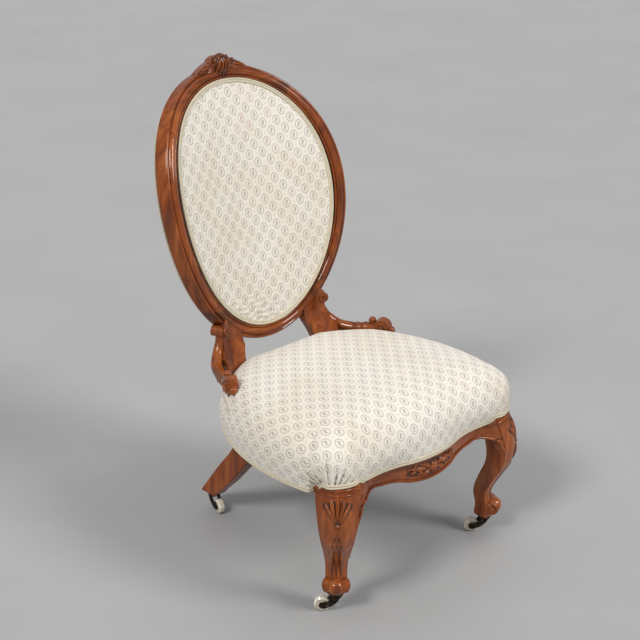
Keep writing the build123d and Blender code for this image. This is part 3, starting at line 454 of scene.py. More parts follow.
# Shader nodes
class Finish:
    """One material, with short calls for the nodes that it needs."""

    def __init__(self, name, **sockets):
        self.material = bpy.data.materials.new(name)
        self.material.use_nodes = True
        self.tree = self.material.node_tree
        self.shader = self.tree.nodes["Principled BSDF"]
        for socket, value in sockets.items():
            self.set(socket.replace("_", " ").title(), value)

    def set(self, socket, value):
        """Give a shader socket a constant or a link."""
        self.feed(self.shader.inputs[socket], value)

    def feed(self, target, value):
        """Give any socket a constant or a link."""
        if isinstance(value, bpy.types.NodeSocket):
            self.tree.links.new(value, target)
        elif hasattr(value, "__len__") and len(target.default_value) == 4:
            target.default_value = (*value, 1.0)[:4]
        else:
            target.default_value = value

    def node(self, kind, inputs=(), **settings):
        """A new node with its settings and inputs."""
        made = self.tree.nodes.new("ShaderNode" + kind)
        for name, value in settings.items():
            setattr(made, name, value)
        for key, value in dict(inputs).items():
            self.feed(made.inputs[key], value)
        return made

    def math(self, operation, *values):
        """One math node; its result."""
        return self.node("Math", dict(enumerate(values)), operation=operation).outputs[0]

    def step(self, value, low, high, first=0.0, last=1.0):
        """Smooth step of a value between two levels."""
        inputs = {"Value": value, "From Min": low, "From Max": high, "To Min": first, "To Max": last}
        return self.node("MapRange", inputs, interpolation_type="SMOOTHSTEP").outputs[0]

    def mix(self, share, first, second, blend="MIX"):
        """Mix of two colours."""
        inputs = {0: share, 6: first, 7: second}
        return self.node("Mix", inputs, data_type="RGBA", blend_type=blend).outputs[2]

    def place(self, scale, source="Object", turn=(0.0, 0.0, 0.0)):
        """Texture coordinates, scaled along each axis."""
        made = self.node("Mapping", {"Scale": scale, "Rotation": turn})
        self.tree.links.new(self.node("TexCoord").outputs[source], made.inputs["Vector"])
        return made.outputs[0]

    def noise(self, vector, scale=1.0, detail=3.0, roughness=0.5, distortion=0.0):
        """Noise from 0 to 1."""
        inputs = {"Vector": vector, "Scale": scale, "Detail": detail, "Roughness": roughness}
        inputs["Distortion"] = distortion
        return self.node("TexNoise", inputs).outputs[0]

    def ramp(self, share, *stops):
        """Colour ramp through (place, colour) stops."""
        made = self.node("ValToRGB", {0: share})
        marks = made.color_ramp.elements
        while len(marks) < len(stops):
            marks.new(1.0)
        for mark, (place, tone) in zip(marks, stops):
            mark.position = place
            mark.color = (*tone, 1.0)
        return made.outputs[0]

    def bump(self, height, distance, strength=1.0):
        """Bump from a height, given the depth that it stands for."""
        made = self.node("Bump", {"Height": height, "Distance": distance, "Strength": strength})
        self.set("Normal", made.outputs[0])


def hollows(finish, reach, darkest):
    """Share of light that reaches into carving, creases and corners: 1 in the open and lower in the hollows;
    the finishes mix a darker colour by it, as painted shade.
    """
    shade = finish.node("AmbientOcclusion", {"Distance": reach}, samples=6)
    return finish.step(shade.outputs["AO"], 0.25, 0.85, darkest, 1.0)


def walnut(colours, grain, carved=False):
    """Polished walnut with its grain along one axis (0, 1 or 2), with painted shade in its hollows and the
    corners between parts; carved walnut is darker in its depths, partly as old polish and partly as painted
    shade.
    """
    name = ("carved_" if carved else "") + "walnut_" + "xyz"[grain]
    if name in bpy.data.materials:
        return bpy.data.materials[name]
    finish = Finish(name, roughness=0.3, coat_weight=0.7, coat_roughness=0.07)
    finish.set("Specular IOR Level", 0.05)

    def drawn_out(along, across):
        """Texture coordinates that stretch a pattern along the grain."""
        return finish.place([along if axis == grain else across for axis in range(3)])

    figure = finish.noise(drawn_out(5.0, 42.0), 1.0, 5, 0.6, 0.8)
    pores = finish.noise(drawn_out(28.0, 900.0), 1.0, 2, 0.5)
    fade = finish.noise(finish.place((3.0, 3.0, 3.0)), 1.0, 2, 0.5)
    share = finish.math("ADD", figure, finish.math("MULTIPLY", finish.math("SUBTRACT", fade, 0.5), 0.55))
    tone = finish.ramp(
        share, (0.28, colours.walnut_dark), (0.50, colours.walnut_mid), (0.72, colours.walnut_light)
    )
    tone = finish.mix(finish.step(pores, 0.56, 0.70, 0.0, 0.45), tone, colours.walnut_dark)
    # Near-black brown: old polish in the carving, and painted shade in hollows and corners
    old_polish_and_shade = (0.022, 0.008, 0.004)
    if carved:
        # Low ground and sunk edges of the carving darkened by depth: partly old polish, partly painted shade
        depth = finish.node("Attribute", attribute_name="depth").outputs["Fac"]
        tone = finish.mix(finish.step(depth, 0.0, 1.0, 0.22, 1.0), old_polish_and_shade, tone)
    # Painted shade: ambient occlusion darkens hollows and the corners between parts
    finish.set("Base Color", finish.mix(hollows(finish, 0.010, 0.1 if carved else 0.5), old_polish_and_shade, tone))
    finish.set("Roughness", finish.step(fade, 0.3, 0.7, 0.24, 0.40))
    finish.bump(pores, 0.0002, 0.35)
    return finish.material


def plain_wood(colours):
    """Sawn beech of the hidden frame."""
    finish = Finish("sawn_beech", roughness=0.7)
    grain = finish.noise(finish.place((12.0, 60.0, 60.0)), 1.0, 4, 0.6)
    darker = [0.7 * part for part in colours.beech]
    finish.set("Base Color", finish.ramp(grain, (0.35, darker), (0.65, colours.beech)))
    finish.bump(grain, 0.0004, 0.5)
    return finish.material


class Lattice:
    """Cells of the cloth's pattern, in metres of its UV map."""

    def __init__(self, finish, sizes):
        self.finish = finish
        split = finish.node("SeparateXYZ", {0: finish.place((1.0, 1.0, 1.0), "UV")})
        self.u, self.v = split.outputs[0], split.outputs[1]
        self.pitches = sizes.pattern_width, sizes.pattern_height

    def cell(self, shift_u, shift_v):
        """Offsets from the middle of the nearest cell of a shifted lattice, and the cell's number."""
        math = self.finish.math
        places, numbers = [], []
        for value, pitch, shift in zip((self.u, self.v), self.pitches, (shift_u, shift_v)):
            share = math("MULTIPLY_ADD", value, 1 / pitch, shift)
            number = math("FLOOR", share)
            numbers.append(number)
            places.append(math("MULTIPLY", math("SUBTRACT", math("SUBTRACT", share, number), 0.5), pitch))
        mark = math("MULTIPLY_ADD", numbers[0], 17.13, math("MULTIPLY", numbers[1], 5.71))
        return places[0], places[1], math("ADD", mark, shift_u)

    def reach(self, du, dv, half):
        """Distance from a cell's middle in units of an ellipse, given its half width and height."""
        math = self.finish.math
        squares = [math("POWER", math("DIVIDE", offset, size), 2.0) for offset, size in zip((du, dv), half)]
        return math("SQRT", math("ADD", *squares))

    def nearest(self, half):
        """Offsets and number of the nearest medallion of a half-drop pattern, and the distance to it."""
        math = self.finish.math
        first, second = self.cell(0.0, 0.0), self.cell(0.5, 0.5)
        to_first, to_second = self.reach(*first[:2], half), self.reach(*second[:2], half)
        nearer = math("LESS_THAN", to_first, to_second)
        chosen = [math("MULTIPLY_ADD", math("SUBTRACT", a, b), nearer, b) for a, b in zip(first, second)]
        return *chosen, math("MINIMUM", to_first, to_second)


def medallions(finish, lattice, sizes):
    """How strongly the woven motif shows, and the number of each medallion."""
    math = finish.math
    du, dv, mark, away = lattice.nearest((sizes.medallion_width / 2, sizes.medallion_height / 2))
    angle = math("ARCTAN2", dv, du)
    beads = math("MULTIPLY_ADD", math("SINE", math("MULTIPLY", angle, RING_BEADS)), 0.25, 0.75)
    off_ring = math("ABSOLUTE", math("SUBTRACT", away, RING_PLACE))
    motif = math("MULTIPLY", finish.step(off_ring, *RING_EDGE, 1.0, 0.0), beads)
    sway = math("MULTIPLY", math("SINE", math("MULTIPLY", dv, STEM_WAVES)), STEM_SWAY)
    stem = finish.step(math("ABSOLUTE", math("SUBTRACT", du, sway)), *STEM_EDGE, 1.0, 0.0)
    stem = math("MULTIPLY", stem, finish.step(math("ABSOLUTE", dv), *STEM_ENDS, 1.0, 0.0))
    leaves = finish.step(lattice.reach(math("ABSOLUTE", du), dv, LEAF_HALF), 0.7, 1.1, 0.8, 0.0)
    bloom = finish.step(lattice.reach(du, math("SUBTRACT", dv, BLOOM_UP), BLOOM_HALF), 0.6, 1.1, 0.5, 0.0)
    parts = [stem, leaves, bloom]
    for shifts in ((0.5, 0.0), (0.0, 0.5)):
        spot = lattice.cell(*shifts)
        parts.append(finish.step(lattice.reach(*spot[:2], DOT_HALF), 0.5, 1.2, 0.55, 0.0))
    for part in parts:
        motif = math("MAXIMUM", motif, part)
    frayed = finish.noise(finish.place((900.0, 900.0, 1.0), "UV"), 1.0, 2, 0.6)
    motif = math("MULTIPLY", motif, finish.step(frayed, 0.30, 0.62, 0.45, 1.0))
    plain = finish.node("Attribute", attribute_name="plain").outputs["Fac"]
    return math("MULTIPLY", motif, math("SUBTRACT", 1.0, plain)), mark


def medallion_cloth(colours, sizes):
    """Cream cloth woven with small oval medallions, a few of them with a rose."""
    name = "medallion_cloth"
    if name in bpy.data.materials:
        return bpy.data.materials[name]
    finish = Finish(name, roughness=0.82, sheen_weight=0.25, sheen_roughness=0.5)
    finish.set("Specular IOR Level", 0.25)
    lattice = Lattice(finish, sizes)
    motif, mark = medallions(finish, lattice, sizes)
    chance = finish.node("TexWhiteNoise", {"W": mark}, noise_dimensions="1D").outputs[0]
    thread = finish.mix(finish.step(chance, *ROSE_CHANCE, 0.0, 0.85), colours.motif, colours.rose)
    soil = finish.noise(finish.place((7.0, 7.0, 7.0)), 1.0, 3, 0.6)
    aged = [part * tint for part, tint in zip(colours.cloth, (0.95, 0.92, 0.86))]
    ground = finish.mix(finish.step(soil, 0.4, 0.7, 0.0, 1.0), colours.cloth, aged)
    woven = finish.mix(finish.math("MULTIPLY", motif, MOTIF_STRENGTH), ground, thread)
    # Painted shade: ambient occlusion darkens the cloth in its creases and along the gimp
    painted_crease_shade = [0.45 * part for part in colours.cloth]
    finish.set("Base Color", finish.mix(hollows(finish, 0.006, 0.45), painted_crease_shade, woven))
    threads = []
    for value in (lattice.u, lattice.v):
        threads.append(finish.math("SINE", finish.math("MULTIPLY", value, 2 * pi / THREAD_PITCH)))
    weave = finish.math("MULTIPLY_ADD", finish.math("MULTIPLY", *threads), 0.5, motif)
    finish.bump(weave, 0.00025, 0.5)
    return finish.material


def braid_finish(colours):
    """Cream cotton gimp."""
    name = "cotton_braid"
    if name in bpy.data.materials:
        return bpy.data.materials[name]
    finish = Finish(name, roughness=0.9, sheen_weight=0.3)
    twist = finish.noise(finish.place((700.0, 700.0, 700.0)), 1.0, 2, 0.6)
    darker = [0.62 * part for part in colours.braid]
    cord = finish.ramp(twist, (0.35, darker), (0.62, colours.braid))
    # Painted shade: ambient occlusion darkens the gimp between its cords and where it meets the cloth
    finish.set("Base Color", finish.mix(hollows(finish, 0.004, 0.35), darker, cord))
    finish.bump(twist, 0.0004, 0.6)
    return finish.material


def coarse_cloth(name, tone, pitch):
    """Plain woven cloth such as hessian, webbing or bottoming."""
    finish = Finish(name, roughness=0.92)
    waves = []
    for scale in ((1.0, 0.0, 0.0), (0.0, 1.0, 0.0)):
        line = finish.node("SeparateXYZ", {0: finish.place(scale)})
        along = finish.math("ADD", line.outputs[0], line.outputs[1])
        waves.append(finish.math("SINE", finish.math("MULTIPLY", along, 2 * pi / pitch)))
    weave = finish.math("MULTIPLY", *waves)
    darker = [0.6 * part for part in tone]
    finish.set("Base Color", finish.ramp(finish.step(weave, -1.0, 1.0), (0.1, darker), (0.9, tone)))
    finish.bump(weave, pitch / 3, 0.6)
    return finish.material


def old_metal(name, tone, worn, roughness):
    """Blackened metal, rubbed bright in places."""
    finish = Finish(name, metallic=1.0, roughness=roughness)
    patches = finish.noise(finish.place((160.0, 160.0, 160.0)), 1.0, 4, 0.65)
    finish.set("Base Color", finish.ramp(patches, (0.45, tone), (0.75, worn)))
    finish.set("Roughness", finish.step(patches, 0.3, 0.7, roughness + 0.15, roughness - 0.1))
    finish.bump(patches, 0.0003, 0.4)
    return finish.material


def porcelain(colours):
    """Glazed porcelain with random stains, darkened to brown round the hub and in its other hollows as
    painted shade.
    """
    finish = Finish("glazed_porcelain", roughness=0.16, coat_weight=0.6, coat_roughness=0.05)
    stain = finish.noise(finish.place((90.0, 90.0, 90.0)), 1.0, 4, 0.6)
    aged = [part * tint for part, tint in zip(colours.porcelain, (0.72, 0.62, 0.45))]
    tone = finish.ramp(stain, (0.42, colours.porcelain), (0.72, aged))
    # Painted shade: ambient occlusion darkens the hollows round the hub to brown
    finish.set("Base Color", finish.mix(hollows(finish, 0.006, 0.1), (0.10, 0.075, 0.035), tone))
    finish.bump(stain, 0.0002, 0.2)
    return finish.material


# Meshes
def piece(name, points, faces, material, slot, body="frame", uvs=None):
    """A smooth mesh that rides on a body; uvs holds one pair for each point."""
    mesh = bpy.data.meshes.new(name)
    mesh.from_pydata([tuple(p) for p in points], [], faces)
    mesh.polygons.foreach_set("use_smooth", [True] * len(mesh.polygons))
    if uvs is not None:
        corners = np.empty(len(mesh.loops), np.int32)
        mesh.loops.foreach_get("vertex_index", corners)
        layer = mesh.uv_layers.new(name="cloth")
        layer.data.foreach_set("uv", np.asarray(uvs, np.float32)[corners].ravel())
    mesh.materials.append(material)
    made = bpy.data.objects.new(name, mesh)
    bpy.context.scene.collection.objects.link(made)
    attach(made, body)
    return made


def grid_faces(rows, columns, wrap_rows=False, wrap_columns=False):
    """Quads of a grid whose points run row by row."""
    faces = []
    for i in range(rows if wrap_rows else rows - 1):
        for j in range(columns if wrap_columns else columns - 1):
            a, b = i, (i + 1) % rows
            c, d = j, (j + 1) % columns
            faces.append((a * columns + c, a * columns + d, b * columns + d, b * columns + c))
    return faces


def arc(start, middle, end, count=24):
    """Plan points along the arc through three points, without the last."""
    a, b, c = (complex(*p) for p in (start, middle, end))
    w = (c - a) / (b - a)
    centre = (b - a) * (w - abs(w) ** 2) / (2j * w.imag) + a
    turn_b, turn_c = (phase((spot - centre) / (a - centre)) for spot in (b, c))
    if turn_b * turn_c < 0:
        turn_c += 2 * pi if turn_b > 0 else -2 * pi
    turns = np.arange(count) / count * turn_c
    spots = centre + (a - centre) * np.exp(1j * turns)
    return np.column_stack((spots.real, spots.imag))


def even(points, count):
    """Points resampled at even steps, both ends kept."""
    lengths = np.r_[0, np.cumsum(np.linalg.norm(np.diff(points, axis=0), axis=1))]
    marks = np.linspace(0, lengths[-1], count)
    return np.column_stack([np.interp(marks, lengths, points[:, axis]) for axis in range(points.shape[1])])


def flowing(spots, count):
    """Points along a smooth line through spots."""
    spots = np.asarray(spots, float)
    padded = np.vstack((2 * spots[0] - spots[1], spots, 2 * spots[-1] - spots[-2]))
    marks = np.linspace(0, len(spots) - 1, count)
    index = np.minimum(marks.astype(int), len(spots) - 2)
    share = (marks - index)[:, None]
    a, b, c, d = (padded[index + step] for step in range(4))
    return b + share / 2 * (c - a + share * (2 * a - 5 * b + 4 * c - d + share * (3 * (b - c) + d - a)))


def wrapped_square(half):
    """Index pairs of a square grid, with each point's shell and its place on the rim from 0 to 4.

    The rim starts at the left end of the front (-Y) side and runs on by the right, the back and the left.
    """
    i, j = (part.ravel() for part in np.meshgrid(np.arange(-half, half + 1), np.arange(-half, half + 1)))
    shell = np.maximum(abs(i), abs(j))
    safe = np.maximum(shell, 1)
    sides = ((j == -shell, i), (i == shell, j), (j == shell, -i), (i == -shell, -j))
    rim = np.zeros(len(i))
    for number, (on_side, along) in reversed(list(enumerate(sides))):
        rim = np.where(on_side, number + (along / safe + 1) / 2, rim)
    return shell, rim % 4


def soft_step(value, low, high):
    """Smooth step of an array or a number."""
    share = np.clip((np.asarray(value) - low) / (high - low), 0, 1)
    return share * share * (3 - 2 * share)


def joined(parts):
    """Points and faces of several meshes put together."""
    points, faces = np.zeros((0, 3)), []
    for spots, rings in parts:
        faces += [tuple(len(points) + index for index in ring) for ring in rings]
        points = np.vstack((points, spots))
    return points, faces


def corners_of(made):
    """Places of all the points of a mesh."""
    return np.array([v.co for v in made.data.vertices])


def move_to(made, spots):
    """Move the points of a mesh."""
    made.data.vertices.foreach_set("co", spots.ravel())
    made.data.update()


def tag(made, name, values):
    """Give each point of a mesh a value that its material can read."""
    layer = made.data.attributes.new(name, "FLOAT", "POINT")
    layer.data.foreach_set("value", values.astype(np.float32))


def refine(made):
    """Put one level of smooth subdivision into a mesh."""
    smooth = made.modifiers.new("smooth", "SUBSURF")
    smooth.levels = 1
    shown = made.evaluated_get(bpy.context.evaluated_depsgraph_get())
    coarse = made.data
    made.data = bpy.data.meshes.new_from_object(shown)
    made.modifiers.remove(smooth)
    bpy.data.meshes.remove(coarse)


def tacked(shell, half, hold):
    """How firmly each point is held, given the shells from the edge where the tacks let go and hold fast."""
    return soft_step(shell, half - hold[0], half - hold[1])


def settle(cushion, pins, pressure, limit):
    """Let the cloth of a cushion find its form: pinned where it is tacked, swollen by its stuffing."""
    rest = corners_of(cushion)
    group = cushion.vertex_groups.new(name="tacked")
    for index, weight in enumerate(pins):
        if weight > 0:
            group.add([index], float(weight), "REPLACE")
    cloth = cushion.modifiers.new("cloth", "CLOTH")
    cloth.settings.quality = 6
    cloth.settings.mass = 0.15
    cloth.settings.tension_stiffness = 30
    cloth.settings.compression_stiffness = 30
    cloth.settings.bending_stiffness = 1.5
    cloth.settings.use_pressure = True
    cloth.settings.uniform_pressure_force = pressure
    cloth.settings.vertex_group_mass = group.name
    cloth.settings.effector_weights.gravity = 0.0
    cloth.collision_settings.use_collision = False
    cloth.point_cache.frame_start, cloth.point_cache.frame_end = 1, SETTLE_FRAMES
    scene = bpy.context.scene
    for number in range(1, SETTLE_FRAMES + 1):
        scene.frame_set(number)
    moved = corners_of(cushion.evaluated_get(bpy.context.evaluated_depsgraph_get())) - rest
    cushion.modifiers.remove(cloth)
    scene.frame_set(1)
    size = np.linalg.norm(moved, axis=1)
    share = np.where(size > limit, limit / np.maximum(size, 1e-9), 1.0)
    cushion.vertex_groups.remove(group)
    move_to(cushion, rest + moved * share[:, None])


# Seat
def seat_sides(wave=SEAT_WAVE):
    """The seat's outline as its front, right, back and left, each a run of plan points."""
    inner = SEAT_HALF - SEAT_CORNER
    corner_y = SEAT_CORNER - SEAT_FRONT
    diagonal = SEAT_CORNER / sqrt(2)
    hip, back_end = np.array(SEAT_HIP), np.array((SEAT_BACK_HALF, SEAT_BACK))
    chord = back_end - hip
    swell = (hip + back_end) / 2 + np.array((chord[1], -chord[0])) / np.linalg.norm(chord) * SEAT_HIP_ROUND
    middle = arc((-SEAT_WAVE_HALF, -SEAT_FRONT), (0, -SEAT_FRONT - wave), (SEAT_WAVE_HALF, -SEAT_FRONT), 40)
    hollow_middle = ((SEAT_WAVE_HALF + inner) / 2, wave - SEAT_FRONT)
    hollow = arc((SEAT_WAVE_HALF, -SEAT_FRONT), hollow_middle, (inner, -SEAT_FRONT), 40)
    corner = arc((inner, -SEAT_FRONT), (inner + diagonal, corner_y - diagonal), (SEAT_HALF, corner_y), 40)
    side_middle = (SEAT_HALF + SEAT_SIDE_SWELL, (corner_y + hip[1]) / 2 - SEAT_SIDE_SWELL)
    side = arc((SEAT_HALF, corner_y), side_middle, hip, 60)
    turn = arc(hip, swell, back_end, 40)
    half_corner, half_turn = len(corner) // 2, len(turn) // 2
    mirror = np.array((-1.0, 1.0))
    front_half = np.vstack((hollow, corner[: half_corner + 1]))
    front = np.vstack(((front_half * mirror)[::-1], middle[1:], front_half))
    right = np.vstack((corner[half_corner:], side, turn[: half_turn + 1]))
    back_half = np.vstack((turn[half_turn:], back_end))
    back = np.vstack((back_half, (back_half * mirror)[::-1]))
    return [even(run, SEAT_SIDE_POINTS) for run in (front, right, back, (right * mirror)[::-1])]


def on_rim(sides, rim):
    """Plan point and outward normal for places on the rim from 0 to 4."""
    number = np.minimum(rim.astype(int), 3)
    points = np.zeros((len(rim), 2))
    tangents = np.zeros((len(rim), 2))
    for index, run in enumerate(sides):
        here = number == index
        mark = (rim[here] - index) * (len(run) - 1)
        slope = np.gradient(run, axis=0)
        steps = np.arange(len(run))
        for axis in range(2):
            points[here, axis] = np.interp(mark, steps, run[:, axis])
            tangents[here, axis] = np.interp(mark, steps, slope[:, axis])
    normals = np.column_stack((tangents[:, 1], -tangents[:, 0]))
    return points, normals / np.linalg.norm(normals, axis=1)[:, None]


def foot_line(rim):
    """Points and normals of the foot of the seat's cloth, low at the sides and tucked in over the knees."""
    plan, normals = on_rim(seat_sides(), rim)
    x, y = abs(plan[:, 0]), plan[:, 1]
    tuck = soft_step(-y, *KNEE_TUCK) * np.maximum(0, x - KNEE_SIDE)
    plan[:, 0] -= np.sign(plan[:, 0]) * tuck
    front = soft_step(-y, *SHOW_RISE)
    knee = soft_step(x, *KNEE_STEP) * soft_step(-y, *KNEE_RISE)
    plan += normals * (KNEE_PROUD * knee)[:, None]
    height = RAIL_BASE + np.maximum(front * (SHOW_TOP - RAIL_BASE), knee * (KNEE_TOP - RAIL_BASE))
    return np.column_stack((plan, height)), normals


def crown_profile():
    """Scale and height of each shell of the seat, from its middle to the bulge at its edge, at even steps."""
    share = np.r_[np.linspace(0, 0.9, 200), 1 - np.linspace(0.1, 0, 400)[1:] ** 2 / 0.1]
    scale = BULGE * share
    height = BULGE_Z + (CROWN_Z - BULGE_Z) * np.sqrt(1 - share ** (2 / CROWN_FLATNESS))
    height += CROWN_DOME * (1 - share**2)
    line = even(np.column_stack((scale * SEAT_HALF, height)), CROWN_SHELLS + 1)
    return line[:, 0] / SEAT_HALF, line[:, 1]


def seat_surface():
    """Points and cloth coordinates of the seat, with each point's shell and the number of shells."""
    half = CROWN_SHELLS + SIDE_SHELLS
    shell, rim = wrapped_square(half)
    points, normals = on_rim(seat_sides(CROWN_WAVE), rim)
    foot = foot_line(rim)[0]
    crown_scale, crown_height = crown_profile()
    down = np.linspace(0, 1, SIDE_SHELLS + 1)[1:]
    scales = np.r_[crown_scale, BULGE - (BULGE - 1) * down**SIDE_ROUND]
    count = len(shell)
    heights = np.empty((count, half + 1))
    heights[:, : CROWN_SHELLS + 1] = crown_height
    heights[:, CROWN_SHELLS + 1 :] = BULGE_Z + (foot[:, 2:] - BULGE_Z) * down
    steps = np.diff(scales)[None, :] * np.linalg.norm(points - SEAT_MIDDLE, axis=1)[:, None]
    excess = np.sqrt(steps**2 + np.diff(heights, axis=1) ** 2) - steps
    excess = np.cumsum(np.column_stack((np.zeros(count), excess)), axis=1)
    here = np.arange(count)
    drawn = soft_step(shell, CROWN_SHELLS, half)[:, None]
    plan = SEAT_MIDDLE + (points * (1 - drawn) + foot[:, :2] * drawn - SEAT_MIDDLE) * scales[shell][:, None]
    uvs = plan + normals * excess[here, shell][:, None]
    level = heights[here, shell]
    corner = np.hypot(abs(points[:, 0]) - PLEAT_APEX[0], points[:, 1] - PLEAT_APEX[1])
    drawn_in = np.exp(-((corner / CORNER_REACH) ** 2) - ((level - BULGE_Z) / CORNER_DEPTH) ** 2)
    plan = plan - normals * (CORNER_DRAW * drawn_in)[:, None]
    return np.column_stack((plan, level)), uvs, shell, half


def pleats(spots):
    """How far the gathers over the front legs stand out: narrow creases that fan up, each with a lip."""
    rise = np.zeros(len(spots))
    for side in SIDES:
        away = spots[:, :2] - np.array((side * PLEAT_APEX[0], PLEAT_APEX[1]))
        near = np.linalg.norm(away, axis=1) < PLEAT_REACH
        heart = spots[:, :2] - np.array((side, -1.0)) * (SEAT_HALF - SEAT_CORNER)
        across = PLEAT_ROUND * np.arctan2(heart @ np.array((-side, -1.0)), heart @ np.array((side, -1.0)))
        up = spots[:, 2] - (KNEE_TOP - PLEAT_ROOT)
        for lean, reach in PLEAT_CREASES:
            turn = radians(lean)
            along = across * sin(turn) + up * cos(turn)
            beside = (across * cos(turn) - up * sin(turn)) * (1 if lean > 0 else -1)
            share = (along - PLEAT_ROOT) / reach
            fade = (1 - soft_step(share, *PLEAT_FADE)) * soft_step(along, *PLEAT_START) * near
            beside /= PLEAT_WIDTH * (PLEAT_FLARE - PLEAT_TAPER * np.clip(share, 0, 1))
            crease = np.exp(-(beside**2)) - LIP_RISE * np.exp(-((beside - LIP_PLACE) ** 2) / 2)
            rise -= PLEAT_DEPTH * crease * fade
    return rise


def in_slits(spots):
    """1 inside the plain gussets of the two slits and 0 outside, with a narrow soft edge."""
    inside = np.zeros(len(spots))
    facing = SLIT_FACING / np.linalg.norm(SLIT_FACING)
    corners = SLIT - SLIT @ facing[:, None] * facing
    for side in SIDES:
        flat = spots * (-side, 1.0, 1.0)
        near = np.linalg.norm(flat - SLIT.mean(0), axis=1) < SLIT_NEAR
        flat = flat - flat @ facing[:, None] * facing
        depth = np.full(len(spots), np.inf)
        for index in range(3):
            edge = corners[(index + 1) % 3] - corners[index]
            inward = np.cross(facing, edge)
            inward *= np.sign(inward @ (corners.mean(0) - corners[index])) / np.linalg.norm(inward)
            depth = np.minimum(depth, (flat - corners[index]) @ inward)
        inside = np.maximum(inside, soft_step(depth, *SLIT_EDGE) * near)
    return inside


def make_welts(seat, colours):
    """Thin corded welts down the two edges of each slit."""
    tree = BVHTree.FromObject(seat, bpy.context.evaluated_depsgraph_get())
    first, second, foot = SLIT
    route = flowing((first, (first + foot) / 2 - SLIT_SWAY, foot, (second + foot) / 2, second), 60)
    for side, name in NAMED_SIDES:
        path = []
        for spot in route * (-side, 1.0, 1.0):
            hit, normal = tree.find_nearest(Vector(spot))[:2]
            path.append(hit + normal * WELT_RADIUS * WELT_PROUD)
        welt = tube(path, WELT_RADIUS, 8, 1.0, SLIT_FACING * (-side, 1.0, 1.0))
        piece(name + "_arm_welt", *welt, braid_finish(colours), "cover_cloth")


def make_seat(colours, sizes):
    """The stuffed seat: one square of cloth wrapped over the crown and down to its tacked edge."""
    spots, uvs, shell, half = seat_surface()
    edge = 2 * half + 1
    cloth = medallion_cloth(colours, sizes)
    seat = piece("seat_upholstery", spots, grid_faces(edge, edge), cloth, "cover_cloth", uvs=uvs)
    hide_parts("seat_cushion")
    settle(seat, tacked(shell, half, SEAT_TACKED), SEAT_PRESSURE, SEAT_SETTLE)
    refine(seat)
    settled = corners_of(seat)
    outward = settled - np.array((*SEAT_MIDDLE, RAIL_BASE))
    outward /= np.linalg.norm(outward, axis=1)[:, None]
    slits = in_slits(settled)
    settled += outward * (pleats(settled) - SLIT_DEPTH * slits)[:, None]
    move_to(seat, settled)
    tag(seat, "plain", slits)
    make_welts(seat, colours)


# Back
def back_normal(x):
    """Forward normal of the hollow back so far from its middle."""
    turn = asin(max(-1.0, min(1.0, x / BACK_BOW)))
    return BACK_FACE * cos(turn) - Vector((1.0, 0.0, 0.0)) * sin(turn)


def back_point(x, v, proud):
    """Point of the hollow back, so far forward of its face along the local normal."""
    bow = BACK_BOW - sqrt(BACK_BOW**2 - x**2)
    return BACK_CENTRE + UP_BACK * v + Vector((x, 0.0, 0.0)) + BACK_FACE * bow + back_normal(x) * proud


def oval(t, inset=0.0):
    """Point inside the outer edge of the oval, t in radians from the right."""
    step = 1e-4

    def edge(turn):
        egg = 1 + BACK_EGG * sin(turn) + BACK_EGG_SQUARE * sin(turn) ** 2
        return BACK_HALF_WIDTH * cos(turn) * egg, BACK_HALF_HEIGHT * sin(turn)

    (x0, v0), (x1, v1) = edge(t - step), edge(t + step)
    size = hypot(x1 - x0, v1 - v0)
    x, v = edge(t)
    return x - inset * (v1 - v0) / size, v + inset * (x1 - x0) / size


def oval_layer(half, inset, proud):
    """Points, cloth coordinates and shells of a layer of the back; proud is its height by the share out."""
    shell, rim = wrapped_square(half)
    spots, uvs = [], []
    for ring, place in zip(shell, rim):
        x, v = oval(radians(place * 90 - 135), inset)
        share = sin(ring / half * pi / 2)
        x, v = x * share, v * share
        spots.append(back_point(x, v, proud(share)))
        uvs.append((BACK_BOW * asin(x / BACK_BOW), v))
    return spots, uvs, shell


def slack(spots):
    """How far the slack cloth low on the left of the back ripples, as it has stretched with age."""
    x = spots[:, 0]
    v = (spots - np.array(BACK_CENTRE)) @ np.array(UP_BACK)
    wander = v / SLACK_PITCH + SLACK_SWAY * np.sin(x / SLACK_SWAY_PITCH)
    wander += SLACK_SHIVER * np.sin(x / SLACK_SHIVER_PITCH[0] + v / SLACK_SHIVER_PITCH[1])
    loose = soft_step(-v, *SLACK_DOWN) * (1 - soft_step(x, *SLACK_ACROSS)) * (1 - soft_step(-v, *SLACK_END))
    return SLACK_DEPTH * np.sin(2 * pi * wander) * loose


def make_pad(cloth):
    """The padded panel of the back."""
    fall, shape = PAD_ROUND
    spots, uvs, shell = oval_layer(
        PAD_SHELLS, PAD_INSET, lambda share: PAD_EDGE + PAD_CROWN * (1 - share**fall) ** shape
    )
    edge = 2 * PAD_SHELLS + 1
    pad = piece("back_upholstery", spots, grid_faces(edge, edge), cloth, "cover_cloth", uvs=uvs)
    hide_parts("back_pad")
    settle(pad, tacked(shell, PAD_SHELLS, BACK_TACKED), BACK_PRESSURE, BACK_SETTLE)
    refine(pad)
    settled = corners_of(pad)
    settled += np.array(BACK_FACE) * slack(settled)[:, None]
    move_to(pad, settled)


def make_cover(cloth):
    """The plain cover on the outside of the back."""
    spots, uvs, shell = oval_layer(
        COVER_SHELLS, COVER_INSET, lambda share: COVER_PROUD - COVER_SWELL * (1 - share**2)
    )
    edge = 2 * COVER_SHELLS + 1
    faces = [face[::-1] for face in grid_faces(edge, edge)]
    cover = piece("outside_back", spots, faces, cloth, "cover_cloth", uvs=uvs)
    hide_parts("outside_back_cover")
    cover.modifiers.new("smooth", "SUBSURF").levels = 1
    size = np.ptp(np.array(uvs), axis=0)


